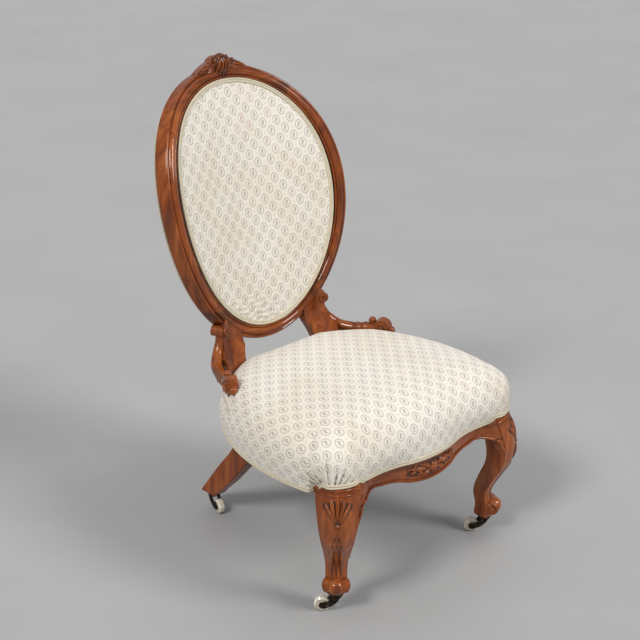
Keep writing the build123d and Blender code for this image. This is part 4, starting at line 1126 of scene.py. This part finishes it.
# Braid
def braid(name, path, normals, colours, sizes):
    """Gimp along a closed path: two twisted cords side by side on a flat band."""
    count = len(path)
    tangents = np.roll(path, -1, axis=0) - np.roll(path, 1, axis=0)
    tangents /= np.linalg.norm(tangents, axis=1)[:, None]
    across = np.cross(tangents, normals)
    across /= np.linalg.norm(across, axis=1)[:, None]
    along = np.r_[0, np.cumsum(np.linalg.norm(np.diff(path, axis=0), axis=1))]
    repeats = round(along[-1] / sizes.braid_pitch)
    turns = along / (along[-1] * (1 + 1 / count)) * 2 * pi * repeats
    half = sizes.braid_width / 2
    rows = []
    for share, rise in zip(BRAID_SHARES, BRAID_RISES):
        twist = 1 + BRAID_TWIST * np.sin(turns + share * BRAID_LEAN) * (rise > 0)
        side = across * (share * half * (1 + BRAID_WAVER * np.sin(turns)))[:, None]
        rows.append(path + side + normals * (sizes.braid_height * rise * twist)[:, None])
    for share in (BRAID_UNDER, -BRAID_UNDER):
        rows.append(path + across * share * half - normals * BRAID_SUNK)
    spots = np.stack(rows, axis=1).reshape(-1, 3)
    piece(name, spots, grid_faces(count, len(rows), True, True), braid_finish(colours), "cover_cloth")


def closed_even(points, step):
    """A closed run of points resampled at about one step."""
    ring = np.vstack((points, points[:1]))
    total = np.linalg.norm(np.diff(ring, axis=0), axis=1).sum()
    return even(ring, max(8, round(total / step)) + 1)[:-1]


def make_braids(colours, sizes):
    """Gimp round the panel of the back, behind it, and along the lower edge of the seat's cloth."""
    step = sizes.braid_pitch / BRAID_STEPS
    turns = np.linspace(0, 2 * pi, 721)[:-1]
    for name, inset, proud, facing in (
        ("back_braid", PAD_BRAID_INSET, PAD_BRAID_PROUD, 1.0),
        ("outside_back_braid", COVER_BRAID_INSET, COVER_BRAID_PROUD, -1.0),
    ):
        path = closed_even(np.array([back_point(*oval(t, inset), proud) for t in turns]), step)
        normals = np.array([back_normal(spot[0]) for spot in path]) * facing
        braid(name, path, normals, colours, sizes)
    low, spread = foot_line(np.linspace(0, 4, 3200, endpoint=False))
    low[:, :2] += spread * SEAT_BRAID_PROUD
    low[:, 2] += sizes.braid_width / 2 - SEAT_BRAID_LAP
    path = closed_even(low, step)
    plan = np.roll(path, -1, axis=0) - np.roll(path, 1, axis=0)
    normals = np.column_stack((plan[:, 1], -plan[:, 0], np.zeros(len(path))))
    normals /= np.linalg.norm(normals, axis=1)[:, None]
    braid("seat_braid", path, normals, colours, sizes)


# Carving
def solid_tree(*names):
    """Search tree over the surfaces of solids."""
    points, faces = [], []
    for name in names:
        mesh = NODES[name].data
        base = len(points)
        points += [NODES[name].matrix_world @ v.co for v in mesh.vertices]
        faces += [[base + index for index in polygon.vertices] for polygon in mesh.polygons]
    return BVHTree.FromPolygons(points, faces)


def outermost(tree, spot, normal):
    """Where a line through a spot first meets the solids, from where a normal points; None if it misses."""
    return tree.ray_cast(spot + normal * FAR, -normal, 2 * FAR)[0]


def petal(u, v, root, angle, length, width, rise, vein=0.35, fullest=0.8):
    """Rise of one leaf: pointed, hollowed along its middle; its angle is from the patch's up to its right.

    A higher value of fullest moves its widest place towards its tip.
    """
    du, dv = u - root[0], v - root[1]
    along = (du * sin(angle) + dv * cos(angle)) / length
    side = (du * cos(angle) - dv * sin(angle)) / width
    span = np.sin(pi * np.clip(along, 0, 1) ** fullest) ** 0.7
    dome = np.sqrt(np.clip(1 - (side / np.maximum(span, 1e-3)) ** 2, 0, 1)) * (0.35 + 0.65 * span)
    dome -= vein * np.exp(-((4 * side) ** 2)) * span
    return np.where((along > 0) & (along < 1), rise * dome, 0.0)


def leaf_pairs(u, v, leaves, rise):
    """Rises of leaves in pairs: x, z, angle in degrees, length and width of each one on the right."""
    rises = []
    for side in SIDES:
        for x, z, turn, reach, wide in leaves:
            rises.append(petal(u, v, (side * x, z), side * radians(turn), reach, wide, rise))
    return rises


def boss(u, v, centre, radius, rise):
    """Rise of a round bud."""
    away = np.hypot(u - centre[0], v - centre[1]) / radius
    return rise * np.sqrt(np.clip(1 - away**2, 0, 1))


def relief(name, tree, origin, across, normal, size, height, material, step=0.0008):
    """Carving raised out of the solids, seen along a normal; height gives its rise over the patch."""
    across, normal = Vector(across).normalized(), Vector(normal).normalized()
    up = normal.cross(across)
    columns, rows = (ceil(extent / step) + 1 for extent in size)
    u, v = np.meshgrid(np.linspace(-0.5, 0.5, columns) * size[0], np.linspace(-0.5, 0.5, rows) * size[1])
    rise = np.maximum(height(u, v) - SUNK / 2, -SUNK).ravel()
    points = []
    for du, dv, lift in zip(u.ravel(), v.ravel(), rise):
        hit = outermost(tree, Vector(origin) + across * du + up * dv, normal)
        points.append(None if hit is None else hit + normal * lift)
    raised = rise > 0
    faces = []
    for face in grid_faces(rows, columns):
        if all(points[index] is not None for index in face) and any(raised[index] for index in face):
            faces.append(face)
    used = sorted({index for face in faces for index in face})
    place = {index: number for number, index in enumerate(used)}
    faces = [[place[index] for index in face] for face in faces]
    made = piece(name, [points[index] for index in used], faces, material, "walnut")
    # Share of full relief; carved walnut darkens low ground and edges by it, partly as old polish and partly
    # as painted shade
    tag(made, "depth", soft_step(rise[used], GROUND, FULL_RELIEF))


def tube(points, radii, ring=10, squash=1.0, facing=(0.0, 0.0, 1.0)):
    """Points and faces of a rounded moulding along a path; squash flattens it along a facing direction."""
    points = np.asarray(points, float)
    tangents = np.gradient(points, axis=0)
    tangents /= np.linalg.norm(tangents, axis=1)[:, None]
    side = np.cross(tangents, np.broadcast_to(np.asarray(facing, float), points.shape))
    side /= np.linalg.norm(side, axis=1)[:, None]
    out = np.cross(side, tangents)
    radii = np.broadcast_to(np.asarray(radii, float), len(points))
    rows = []
    for turn in np.arange(ring) / ring * 2 * pi:
        rows.append(points + radii[:, None] * (side * cos(turn) + out * sin(turn) * squash))
    spots = np.stack(rows, axis=1).reshape(-1, 3)
    faces = grid_faces(len(points), ring, False, True)
    faces.append(tuple(range(ring))[::-1])
    faces.append(tuple(range((len(points) - 1) * ring, len(points) * ring)))
    return spots, faces


def ball(centre, radius, axis=(0.0, 0.0, 1.0), squash=1.0, rings=10, sides=16):
    """Points and faces of a ball, flattened along an axis."""
    axis = Vector(axis).normalized()
    across = axis.orthogonal().normalized()
    other = axis.cross(across)
    points = [centre - axis * radius * squash]
    for row in range(1, rings):
        lift = -cos(pi * row / rings)
        reach = sin(pi * row / rings)
        for turn in np.arange(sides) / sides * 2 * pi:
            spread = (across * cos(turn) + other * sin(turn)) * reach
            points.append(centre + (spread + axis * lift * squash) * radius)
    points.append(centre + axis * radius * squash)
    faces = [(0, 1 + (k + 1) % sides, 1 + k) for k in range(sides)]
    for row in range(rings - 2):
        base = 1 + row * sides
        for k in range(sides):
            n = (k + 1) % sides
            faces.append((base + k, base + n, base + sides + n, base + sides + k))
    last = len(points) - 1
    faces += [(last - sides + k, last - sides + (k + 1) % sides, last) for k in range(sides)]
    return np.array(points), faces


def volute(name, centre, axis, form, start, material, hand):
    """Spiral fillet on the end of a scroll, with an eye in its middle."""
    outer, inner, turns, thick = form
    axis, across = Vector(axis).normalized(), Vector(start).normalized()
    other = axis.cross(across)
    path, radii = [], []
    for share in np.linspace(0, 1, 90):
        reach = outer + (inner - outer) * share**0.8
        turn = hand * 2 * pi * turns * share
        path.append(centre + (across * cos(turn) + other * sin(turn)) * reach)
        radii.append(thick * (1 - 0.45 * share))
    spiral, eye = tube(path, radii, 10, 0.9, axis), ball(centre, inner * 0.9, axis, 0.7)
    piece(name, *joined((spiral, eye)), material, "walnut")


# Front legs
def knee_leaf(u, v):
    """Palmette on a knee: five fingers over a waist, three leaves below it and long reeds down the shin."""
    fan = np.arctan2(u, np.maximum(v + PALMETTE_HEART, 1e-4))
    ground = (abs(fan) < radians(PALMETTE_FAN)) & (np.hypot(u, v) < PALMETTE_GROUND) & (v > LEAF_ROOT)
    rises = [np.where(ground, GROUND / 2, 0.0), boss(u, v, *WAIST_BOSS)]
    for number in range(-2, 3):
        root, reach = (LEAF_GAP * number, LEAF_ROOT), FINGER_REACH[abs(number)]
        rises.append(petal(u, v, root, radians(LEAF_LEAN * number), reach, *FINGER_FORM))
    for number in range(-1, 2):
        rises.append(petal(u, v, (LEAF_GAP * number, 0), pi - radians(LEAF_LEAN * number), *LOWER_LEAF))
    for place in REED_PLACES:
        rises.append(petal(u, v, (place, -REED_FALL), pi, *REED))
    return np.maximum.reduce(rises)


def knee_mouldings(name, tree, pivot, outward, across, material):
    """Cornice and bead round the top of a front leg."""
    for label, high, droop, thick in KNEE_MOULDINGS:
        path = []
        for turn in np.radians(np.linspace(-MOULDING_TURN, MOULDING_TURN, 80)):
            ray = outward * cos(turn) + across * sin(turn)
            level = high - droop * abs(turn / radians(MOULDING_TURN)) ** 5
            hit = outermost(tree, pivot + outward * MOULDING_HEART + Vector((0, 0, level)), ray)
            if hit is not None:
                path.append(hit + ray * MOULDING_PROUD)
        from_ends = np.minimum(np.linspace(0, 1, len(path)), np.linspace(1, 0, len(path)))
        radii = thick * np.minimum(1, MOULDING_TIP + MOULDING_SWELL * from_ends)
        piece(name + "_" + label, *tube(path, radii), material, "walnut")


def scrolled_toe(name, side, pivot, outward, across, material):
    """Volutes on both ends of a rolled toe, and the egg in front of it."""
    toe = pivot + outward * TOE_REACH + Vector((0, 0, TOE_Z))
    for end in SIDES:
        label = name + "_toe_volute_" + ("in" if end * side < 0 else "out")
        volute(label, toe + across * end * TOE_HALF, across * end, TOE_VOLUTE, (0, 0, 1), material, end)
    egg = toe + outward * TOE_EGG_REACH - Vector((0, 0, TOE_EGG_FALL))
    form = ball(egg, TOE_EGG_RADIUS, (0, 0, 1), TOE_EGG_HEIGHT, 16, 24)
    piece(name + "_toe_egg", *form, material, "walnut")


def leg_bead(name, side, tree, pivot, material):
    """Bead down the edge of a front leg that faces the other one."""
    inner = Vector((-side, -1.0, 0.0)).normalized()
    beside = Vector((-1.0, side, 0.0)).normalized()
    path = []
    for height in np.linspace(LEG_BEAD_TOP, LEG_BEAD_FOOT, 40):
        hits = []
        for shift in np.linspace(-LEG_BEAD_SEARCH, LEG_BEAD_SEARCH, 61):
            hit = outermost(tree, pivot + beside * shift + Vector((0, 0, height)), inner)
            if hit is not None:
                hits.append(hit)
        path.append(max(hits, key=inner.dot))
    path = flowing(path[::4], 60)
    bead = tube(path, np.linspace(*LEG_BEAD_RADII, len(path)), 10, 1.0, inner)
    piece(name + "_leg_bead", *bead, material, "walnut")


def make_knees(colours):
    """Palmettes, top mouldings, scrolled toes and inner beads of the two front legs."""
    material, carved = walnut(colours, 2), walnut(colours, 2, True)
    for side, name in NAMED_SIDES:
        tree = solid_tree("front_" + name + "_leg")
        outward = Vector((side, -1.0, 0.0)).normalized()
        across = Vector((1.0, side, 0.0)).normalized()
        pivot = Vector((side * FRONT_PIVOT[0], FRONT_PIVOT[1], 0.0))
        middle = pivot + Vector((0, 0, KNEE_WAIST - PALMETTE_FALL))
        relief(name + "_knee_palmette", tree, middle, across, outward, PALMETTE_SIZE,
               lambda u, v: knee_leaf(u, v - PALMETTE_FALL), carved)
        knee_mouldings(name, tree, pivot, outward, across, material)
        scrolled_toe(name, side, pivot, outward, across, material)
        leg_bead(name, side, tree, pivot, material)


# Front rail
def rail_edge():
    """Lower edge of the front rail from one leg to the other, as (x, z)."""
    ogee = ((RAIL_SHOULDER[0] + RAIL_ARCH[0]) / 2, RAIL_ARCH[1] - RAIL_OGEE_FALL)
    rise, spring = arc(RAIL_SHOULDER, ogee, RAIL_ARCH), arc(RAIL_ARCH, RAIL_EASE, RAIL_SPRING)
    right = np.vstack((rise, spring, [RAIL_SPRING]))
    left = (right * (-1.0, 1.0))[::-1]
    middle = arc((-RAIL_SHOULDER[0], RAIL_SHOULDER[1]), (0, RAIL_DROP_Z), RAIL_SHOULDER)
    return even(np.vstack((left, middle[1:], right)), 160)


def leg_edge(leg):
    """Inner edge of the right leg's face from low to high: its heights, and its places in X and Y."""
    found = []
    for z in np.linspace(RAIL_SPRING[1] - FLOW_DROP - FLOW_BELOW, KNEE_TOP, 40):
        for x in np.arange(*LEG_SEARCH):
            hit = outermost(leg, Vector((x, RAIL_Y, z)), FRONT)
            if hit is not None and hit.y < LEG_FACE_Y:
                found.append((z, x + LEG_LAP, hit.y))
                break
    return np.array(found).T


def rail_flow(rail, leg, edge):
    """Face that carries the end of the front rail forward into the right leg, from below up to the gimp."""
    levels, starts, faces = leg_edge(leg)
    spots = []
    for row in range(FLOW_ROWS):
        level = max(row - 1, 0) / (FLOW_ROWS - 2)
        for share in np.linspace(0, 1, FLOW_COLUMNS):
            along = FLOW_FROM + share * (RAIL_SPRING[0] - FLOW_FROM)
            low = np.interp(along, edge[:, 0], edge[:, 1]) + FLOW_LIFT
            low -= FLOW_DROP * max(share - FLOW_TURN, 0) ** 2 / (1 - FLOW_TURN) ** 2
            z = low + level * (SHOW_TOP + FLOW_RISE * share**3 - low)
            x = FLOW_FROM + share * (np.interp(z, levels, starts) - FLOW_FROM)
            flat = outermost(rail, Vector((min(x, RAIL_END), RAIL_Y, RAIL_MIDDLE_Z)), FRONT).y
            y = flat - FLOW_PROUD + (np.interp(z, levels, faces) - flat) * soft_step(share, 0.0, 1.0)
            spots.append((x, y if row else flat + FLOW_UNDER, z))
    return np.array(spots)


def rail_spray(u, v):
    """Flower and leaves in the middle of the front rail, on a pecked ground."""
    half_width, half_height = RAIL_GROUND_HALF
    ground = np.where(abs(u) / half_width + (v / half_height) ** 2 < 1, GROUND * 0.75, 0.0)
    ground += np.where(ground > 0, GROUND / 4 * np.sin(u * RAIL_PECKS) * np.sin(v * RAIL_PECKS), 0.0)
    rises = [ground, boss(u, v, RAIL_FLOWER, *RAIL_HEART), *leaf_pairs(u, v, RAIL_LEAVES, RAIL_LEAF_RISE)]
    for number in range(6):
        rises.append(petal(u, v, RAIL_FLOWER, radians(60 * number + 30), *RAIL_PETAL))
    for side in SIDES:
        for (x, z), radius, rise in RAIL_BUDS:
            rises.append(boss(u, v, (side * x, z), radius, rise))
    return np.maximum.reduce(rises)


def make_rail_carving(colours):
    """Flower, leaves, ends and lower bead of the front rail."""
    material, carved = walnut(colours, 0), walnut(colours, 0, True)
    tree = solid_tree("front_rail")
    middle = (0, RAIL_Y, RAIL_SPRAY_Z)
    relief("rail_spray", tree, middle, (1, 0, 0), FRONT, RAIL_SPRAY_SIZE, rail_spray, carved, RAIL_SPRAY_STEP)
    edge = rail_edge()
    mirror = np.array((-1.0, 1.0, 1.0))
    flow = rail_flow(tree, solid_tree("front_right_leg"), edge)
    faces = grid_faces(FLOW_ROWS, FLOW_COLUMNS)
    piece("right_rail_flow", flow, faces, material, "walnut")
    piece("left_rail_flow", flow * mirror, [face[::-1] for face in faces], material, "walnut")
    end = flow.reshape(FLOW_ROWS, FLOW_COLUMNS, 3)[1]
    path = list(end[::-1] * mirror)
    for x, z in edge[abs(edge[:, 0]) < FLOW_FROM - RAIL_BEAD_GAP]:
        path.append(np.array(outermost(tree, Vector((x, RAIL_Y, z + RAIL_BEAD_LIFT)), FRONT)))
    path = np.vstack((*path, *end)) - (0, RAIL_BEAD_PROUD, 0)
    piece("rail_bead", *tube(path, RAIL_BEAD, 10, 1.0, FRONT), material, "walnut")


# Arms and supports
def arm_roll(side):
    """Points and faces of the rounded rail of an arm, with two raised bands near its front."""
    spots = []
    for turn, height in ROLL_ON_BEND:
        x, y = BEND_CENTRE[0] + BEND_RADIUS * sin(turn), BEND_CENTRE[1] + BEND_RADIUS * cos(turn)
        spots.append((x, y, RAIL_TOP + height))
    for share, height in ROLL_ON_RUN:
        x, y = (first + (last - first) * share for first, last in zip(ARM_BEND_END, ARM_END))
        spots.append((x, y, RAIL_TOP + height))
    path = flowing(spots, 120) * (side, 1.0, 1.0)
    marks = np.linspace(0, 1, len(path))
    radii = ROLL_RADIUS * (1 - ROLL_SLIM + ROLL_SLIM * soft_step(marks, 0.0, ROLL_EASE))
    for band in ROLL_BANDS:
        radii += ROLL_BAND_RISE * np.exp(-(((marks - band) / ROLL_BAND_WIDTH) ** 2))
    return tube(path, radii, 20, 1.0, (side, 0.0, 0.0))


def make_arms(colours):
    """Rounded rails of the arms, and the spiral fillets of their rosettes and of the supports' scrolls."""
    material = walnut(colours, 1)
    for side, name in NAMED_SIDES:
        piece(name + "_arm_roll", *arm_roll(side), material, "walnut")
        run = Vector((side * (ARM_END[0] - ARM_BEND_END[0]), ARM_END[1] - ARM_BEND_END[1], 0)).normalized()
        across = Vector((run.y, -run.x, 0.0))
        centre = Vector((side * ARM_END[0], ARM_END[1], ARM_END[2]))
        for end, label in zip(SIDES, ("first", "second")):
            place = centre + across * end * ROSETTE_HALF
            volute(name + "_rosette_" + label, place, across * end, ROSETTE_VOLUTE, -run, material, end)
        nib = Vector((side * NIB_PLACE[0], NIB_PLACE[1], NIB_PLACE[2]))
        piece(name + "_support_nib", *ball(nib, NIB_RADIUS, (0, 1, 0), NIB_DEPTH), material, "walnut")
        depth = BEND_CENTRE[1] + sqrt(BEND_RADIUS**2 - (FLANK[0] - BEND_CENTRE[0]) ** 2)
        eye = Vector((side * FLANK[0], depth, FLANK[1]))
        facing = Vector((-side * sin(FLANK_TURN), -cos(FLANK_TURN), 0.0))
        for end, label in zip(SIDES, ("behind", "front")):
            place, hand = eye + facing * end * FLANK_HALF, -side * end
            volute(name + "_flank_" + label, place, facing * end, FLANK_VOLUTE, (0, 0, -1), material, hand)


# Crest
def crest_spray(u, v):
    """Lobes, bosses and leaves on the front of the crest."""
    ground = np.hypot(u / CREST_GROUND[0], (v - CREST_GROUND_UP) / CREST_GROUND[1]) < 1
    rises = [np.where(ground, GROUND / 2, 0.0), *leaf_pairs(u, v, CREST_LEAVES, CREST_LEAF_RISE)]
    for number in range(-2, 3):
        root, angle = (LOBE_GAP * number, LOBE_ROOT), pi - radians(LOBE_LEAN * number)
        rises.append(petal(u, v, root, angle, LOBE_REACH[abs(number)], *LOBE_FORM))
    rises += [boss(u, v, *form) for form in CREST_BOSSES]
    return np.maximum.reduce(rises)


def crest_buds():
    """Buds of the crest: how far right and up of the top of the oval, and their radii."""
    buds = [TOP_BUD]
    for side in SIDES:
        x, up, radius = FLOWER
        buds += [(side * x, up, radius), (side * SIDE_BUD[0], *SIDE_BUD[1:])]
        for turn in np.radians(np.arange(6) * 60 + 15):
            across, above = FLOWER_REACH[0] * sin(turn), FLOWER_REACH[1] * cos(turn)
            buds.append((side * x + across, up + above, FLOWER_BUD))
    return buds


def make_crest(colours):
    """Spray, buds and tails of the crest."""
    material, carved = walnut(colours, 0), walnut(colours, 0, True)
    tree = solid_tree("crest_carving", "crest_rail")
    origin = back_point(0.0, BACK_HALF_HEIGHT, 0.0)
    relief("crest_spray", tree, origin, (1, 0, 0), BACK_FACE, CREST_SIZE, crest_spray, carved)
    balls = []
    for x, up, radius in crest_buds():
        hit = outermost(tree, origin + UP_BACK * up + Vector((x, 0, 0)), BACK_FACE)
        if hit is not None:
            balls.append(ball(hit, radius, BACK_FACE, BUD_DEPTH))
    piece("crest_petals", *joined(balls), material, "walnut")
    for side, name in NAMED_SIDES:
        turns = pi / 2 - side * np.linspace(radians(TAIL_FROM), radians(TAIL_TO), 40)
        path = [back_point(*oval(t, TAIL_INSET), -TAIL_INSET) for t in turns]
        tail = tube(path, np.linspace(*TAIL_RADII, len(path)), 12, 1.0, BACK_FACE)
        piece(name + "_crest_tail", *tail, material, "walnut")


# Finishes of the solids
def finish_solids(colours):
    """Give every solid that stays its material."""
    finishes = {
        "beech": plain_wood(colours),
        "caster_metal": old_metal("blackened_iron", colours.iron, (0.12, 0.09, 0.06), 0.5),
        "porcelain": porcelain(colours),
        "spring_steel": old_metal("spring_wire", colours.steel, (0.5, 0.35, 0.22), 0.4),
    }
    jute = coarse_cloth("jute", colours.hessian, 0.0016)
    slots = {row["node"]: row["material_slot"] for row in frame["record"]["subparts"]}
    for name, node in NODES.items():
        if slots[name] == "walnut" or name in STAINED:
            material = walnut(colours, GRAIN.get(name, 2))
        else:
            material = finishes.get(slots[name], jute)
        node.data.materials.clear()
        node.data.materials.append(material)


# Under the seat
def make_bottoming(colours):
    """Black cloth under the seat frame, sagging a little, with the tacks that hold its edge."""
    low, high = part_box("bottoming_cloth")
    level = (low[2] + high[2]) / 2
    shell, rim = wrapped_square(BOTTOMING_SHELLS)
    edge = on_rim(seat_sides(), rim)[0]
    reach = high[0] / edge[:, 0].max()
    share = shell / BOTTOMING_SHELLS
    plan = SEAT_MIDDLE + (edge - SEAT_MIDDLE) * (share * reach)[:, None]
    spots = np.column_stack((plan, level - BOTTOMING_SAG * (1 - share**2)))
    count = 2 * BOTTOMING_SHELLS + 1
    material = coarse_cloth("black_bottoming", colours.bottoming, 0.0011)
    faces = [face[::-1] for face in grid_faces(count, count)]
    cloth = piece("bottoming", spots, faces, material, "bottoming")
    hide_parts("bottoming_cloth")
    cloth.modifiers.new("smooth", "SUBSURF").levels = 1
    ring = SEAT_MIDDLE + (closed_even(np.vstack(seat_sides()), BOTTOMING_STEP) - SEAT_MIDDLE) * reach
    make_tacks(SEAT_MIDDLE + (ring - SEAT_MIDDLE) * (1 - TACK_INSET / SEAT_HALF), level)


def make_tacks(line, level):
    """Tacks along a line in plan, left out where the legs are."""
    legs = solid_tree("front_left_leg", "front_right_leg", "back_left_leg", "back_right_leg")
    balls = []
    for x, y in closed_even(line, TACK_SPACING):
        head = Vector((x, y, level - TACK_FALL))
        if legs.find_nearest(head)[3] >= TACK_INSET:
            balls.append(ball(head, TACK_RADIUS, (0, 0, 1), TACK_HEIGHT))
    piece("bottoming_tacks", *joined(balls), bpy.data.materials["blackened_iron"], "caster_metal")


# Stage
def soft_sun(name, place, power, spread, tone):
    """An even soft light from the side that a place stands for."""
    lamp = bpy.data.lights.new(name, "SUN")
    lamp.angle, lamp.energy, lamp.color = radians(spread), power, tone
    made = bpy.data.objects.new(name, lamp)
    bpy.context.scene.collection.objects.link(made)
    made.location = place
    made.rotation_euler = (-Vector(place)).to_track_quat("-Z", "Y").to_euler()


def make_floor(colours):
    """Plain pale floor."""
    mesh = bpy.data.meshes.new("floor")
    corners = [(x * FLOOR_REACH, y * FLOOR_REACH, 0) for x, y in ((-1, -1), (1, -1), (1, 1), (-1, 1))]
    mesh.from_pydata(corners, [], [(0, 1, 2, 3)])
    floor = bpy.data.objects.new("floor", mesh)
    bpy.context.scene.collection.objects.link(floor)
    finish = Finish("studio_floor", roughness=0.55)
    scuffs = finish.noise(finish.place((2.0, 2.0, 2.0)), 1.0, 5, 0.6)
    darker = [0.94 * part for part in colours.floor]
    finish.set("Base Color", finish.ramp(scuffs, (0.35, darker), (0.65, colours.floor)))
    mesh.materials.append(finish.material)
    floor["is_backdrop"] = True


def make_camera():
    """The camera of the photograph."""
    data = bpy.data.cameras.new("camera")
    data.lens, data.sensor_width = CAMERA_LENS, CAMERA_SENSOR
    data.shift_x, data.shift_y = CAMERA_SHIFT
    camera = bpy.data.objects.new("camera", data)
    bpy.context.scene.collection.objects.link(camera)
    camera.location = CAMERA_PLACE
    look = (CAMERA_TARGET - CAMERA_PLACE).to_track_quat("-Z", "Y").to_matrix().to_4x4()
    camera.matrix_world = Matrix.Translation(CAMERA_PLACE) @ look @ Matrix.Rotation(CAMERA_ROLL, 4, "Z")
    bpy.context.scene.camera = camera


def make_stage(colours):
    """Floor, soft studio light and the camera."""
    make_floor(colours)
    world = bpy.data.worlds.new("studio")
    world.use_nodes = True
    sky = world.node_tree.nodes["Background"]
    sky.inputs["Color"].default_value = AMBIENT_TONE
    sky.inputs["Strength"].default_value = AMBIENT
    bpy.context.scene.world = world
    for name, lamp in LAMPS.items():
        soft_sun(name, *lamp)
    bpy.context.scene.view_settings.view_transform = "Standard"
    make_camera()


# Operators
class CHAIR_OT_stage(bpy.types.Operator):
    """Make the floor, the lights and the camera"""

    bl_idname = "chair.stage"
    bl_label = "Stage"
    bl_options = {"REGISTER", "UNDO"}

    def execute(self, context):
        make_stage(context.scene.chair_colours)
        return {"FINISHED"}


class CHAIR_OT_solids(bpy.types.Operator):
    """Give the walnut, beech, metal and porcelain solids their finishes"""

    bl_idname = "chair.solids"
    bl_label = "Wood, metal and porcelain"
    bl_options = {"REGISTER", "UNDO"}

    def execute(self, context):
        finish_solids(context.scene.chair_colours)
        return {"FINISHED"}


class CHAIR_OT_seat(bpy.types.Operator):
    """Make the sprung and stuffed seat and the welts of its slits"""

    bl_idname = "chair.seat"
    bl_label = "Seat"
    bl_options = {"REGISTER", "UNDO"}

    def execute(self, context):
        make_seat(context.scene.chair_colours, context.scene.chair_sizes)
        return {"FINISHED"}


class CHAIR_OT_back(bpy.types.Operator):
    """Make the padded panel of the back and the cover behind it"""

    bl_idname = "chair.back"
    bl_label = "Back"
    bl_options = {"REGISTER", "UNDO"}

    def execute(self, context):
        cloth = medallion_cloth(context.scene.chair_colours, context.scene.chair_sizes)
        make_pad(cloth)
        make_cover(cloth)
        return {"FINISHED"}


class CHAIR_OT_braid(bpy.types.Operator):
    """Lay the gimp along the edges of the cloth"""

    bl_idname = "chair.braid"
    bl_label = "Braid"
    bl_options = {"REGISTER", "UNDO"}

    def execute(self, context):
        make_braids(context.scene.chair_colours, context.scene.chair_sizes)
        return {"FINISHED"}


class CHAIR_OT_bottoming(bpy.types.Operator):
    """Tack the black cloth under the seat"""

    bl_idname = "chair.bottoming"
    bl_label = "Bottoming"
    bl_options = {"REGISTER", "UNDO"}

    def execute(self, context):
        make_bottoming(context.scene.chair_colours)
        return {"FINISHED"}


class CHAIR_OT_knees(bpy.types.Operator):
    """Carve the knees and toes of the front legs"""

    bl_idname = "chair.knees"
    bl_label = "Knees and toes"
    bl_options = {"REGISTER", "UNDO"}

    def execute(self, context):
        make_knees(context.scene.chair_colours)
        return {"FINISHED"}


class CHAIR_OT_rail(bpy.types.Operator):
    """Carve the front rail"""

    bl_idname = "chair.rail"
    bl_label = "Front rail"
    bl_options = {"REGISTER", "UNDO"}

    def execute(self, context):
        make_rail_carving(context.scene.chair_colours)
        return {"FINISHED"}


class CHAIR_OT_arms(bpy.types.Operator):
    """Round the arms and carve their scrolls and those of the supports"""

    bl_idname = "chair.arms"
    bl_label = "Arms and supports"
    bl_options = {"REGISTER", "UNDO"}

    def execute(self, context):
        make_arms(context.scene.chair_colours)
        return {"FINISHED"}


class CHAIR_OT_crest(bpy.types.Operator):
    """Carve the crest of the back"""

    bl_idname = "chair.crest"
    bl_label = "Crest"
    bl_options = {"REGISTER", "UNDO"}

    def execute(self, context):
        make_crest(context.scene.chair_colours)
        return {"FINISHED"}


OPERATORS = (
    CHAIR_OT_stage, CHAIR_OT_solids, CHAIR_OT_seat, CHAIR_OT_back, CHAIR_OT_braid, CHAIR_OT_bottoming,
    CHAIR_OT_knees, CHAIR_OT_rail, CHAIR_OT_arms, CHAIR_OT_crest,
)


class CHAIR_PT_panel(bpy.types.Panel):
    """The chair's pieces, in the order in which they are made"""

    bl_idname = "CHAIR_PT_panel"
    bl_label = "Oval-back chair"
    bl_space_type = "VIEW_3D"
    bl_region_type = "UI"
    bl_category = "Chair"

    def draw(self, context):
        for operator in OPERATORS:
            self.layout.operator(operator.bl_idname)
        for group in (context.scene.chair_colours, context.scene.chair_sizes):
            for name in group.__annotations__:
                self.layout.prop(group, name)


CLASSES = (ChairColours, ChairSizes, *OPERATORS, CHAIR_PT_panel)


def register():
    for cls in CLASSES:
        bpy.utils.register_class(cls)
    bpy.types.Scene.chair_colours = bpy.props.PointerProperty(type=ChairColours)
    bpy.types.Scene.chair_sizes = bpy.props.PointerProperty(type=ChairSizes)


def unregister():
    del bpy.types.Scene.chair_sizes
    del bpy.types.Scene.chair_colours
    for cls in reversed(CLASSES):
        bpy.utils.unregister_class(cls)


def main():
    register()
    for operator in OPERATORS:
        family, name = operator.bl_idname.split(".")
        getattr(getattr(bpy.ops, family), name)()
    sizes = {"cad": CAD_BOX, "visual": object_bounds()}
    {name: [list(corner) for corner in box] for name, box in sizes.items()}


if __name__ == "__main__":
    main()
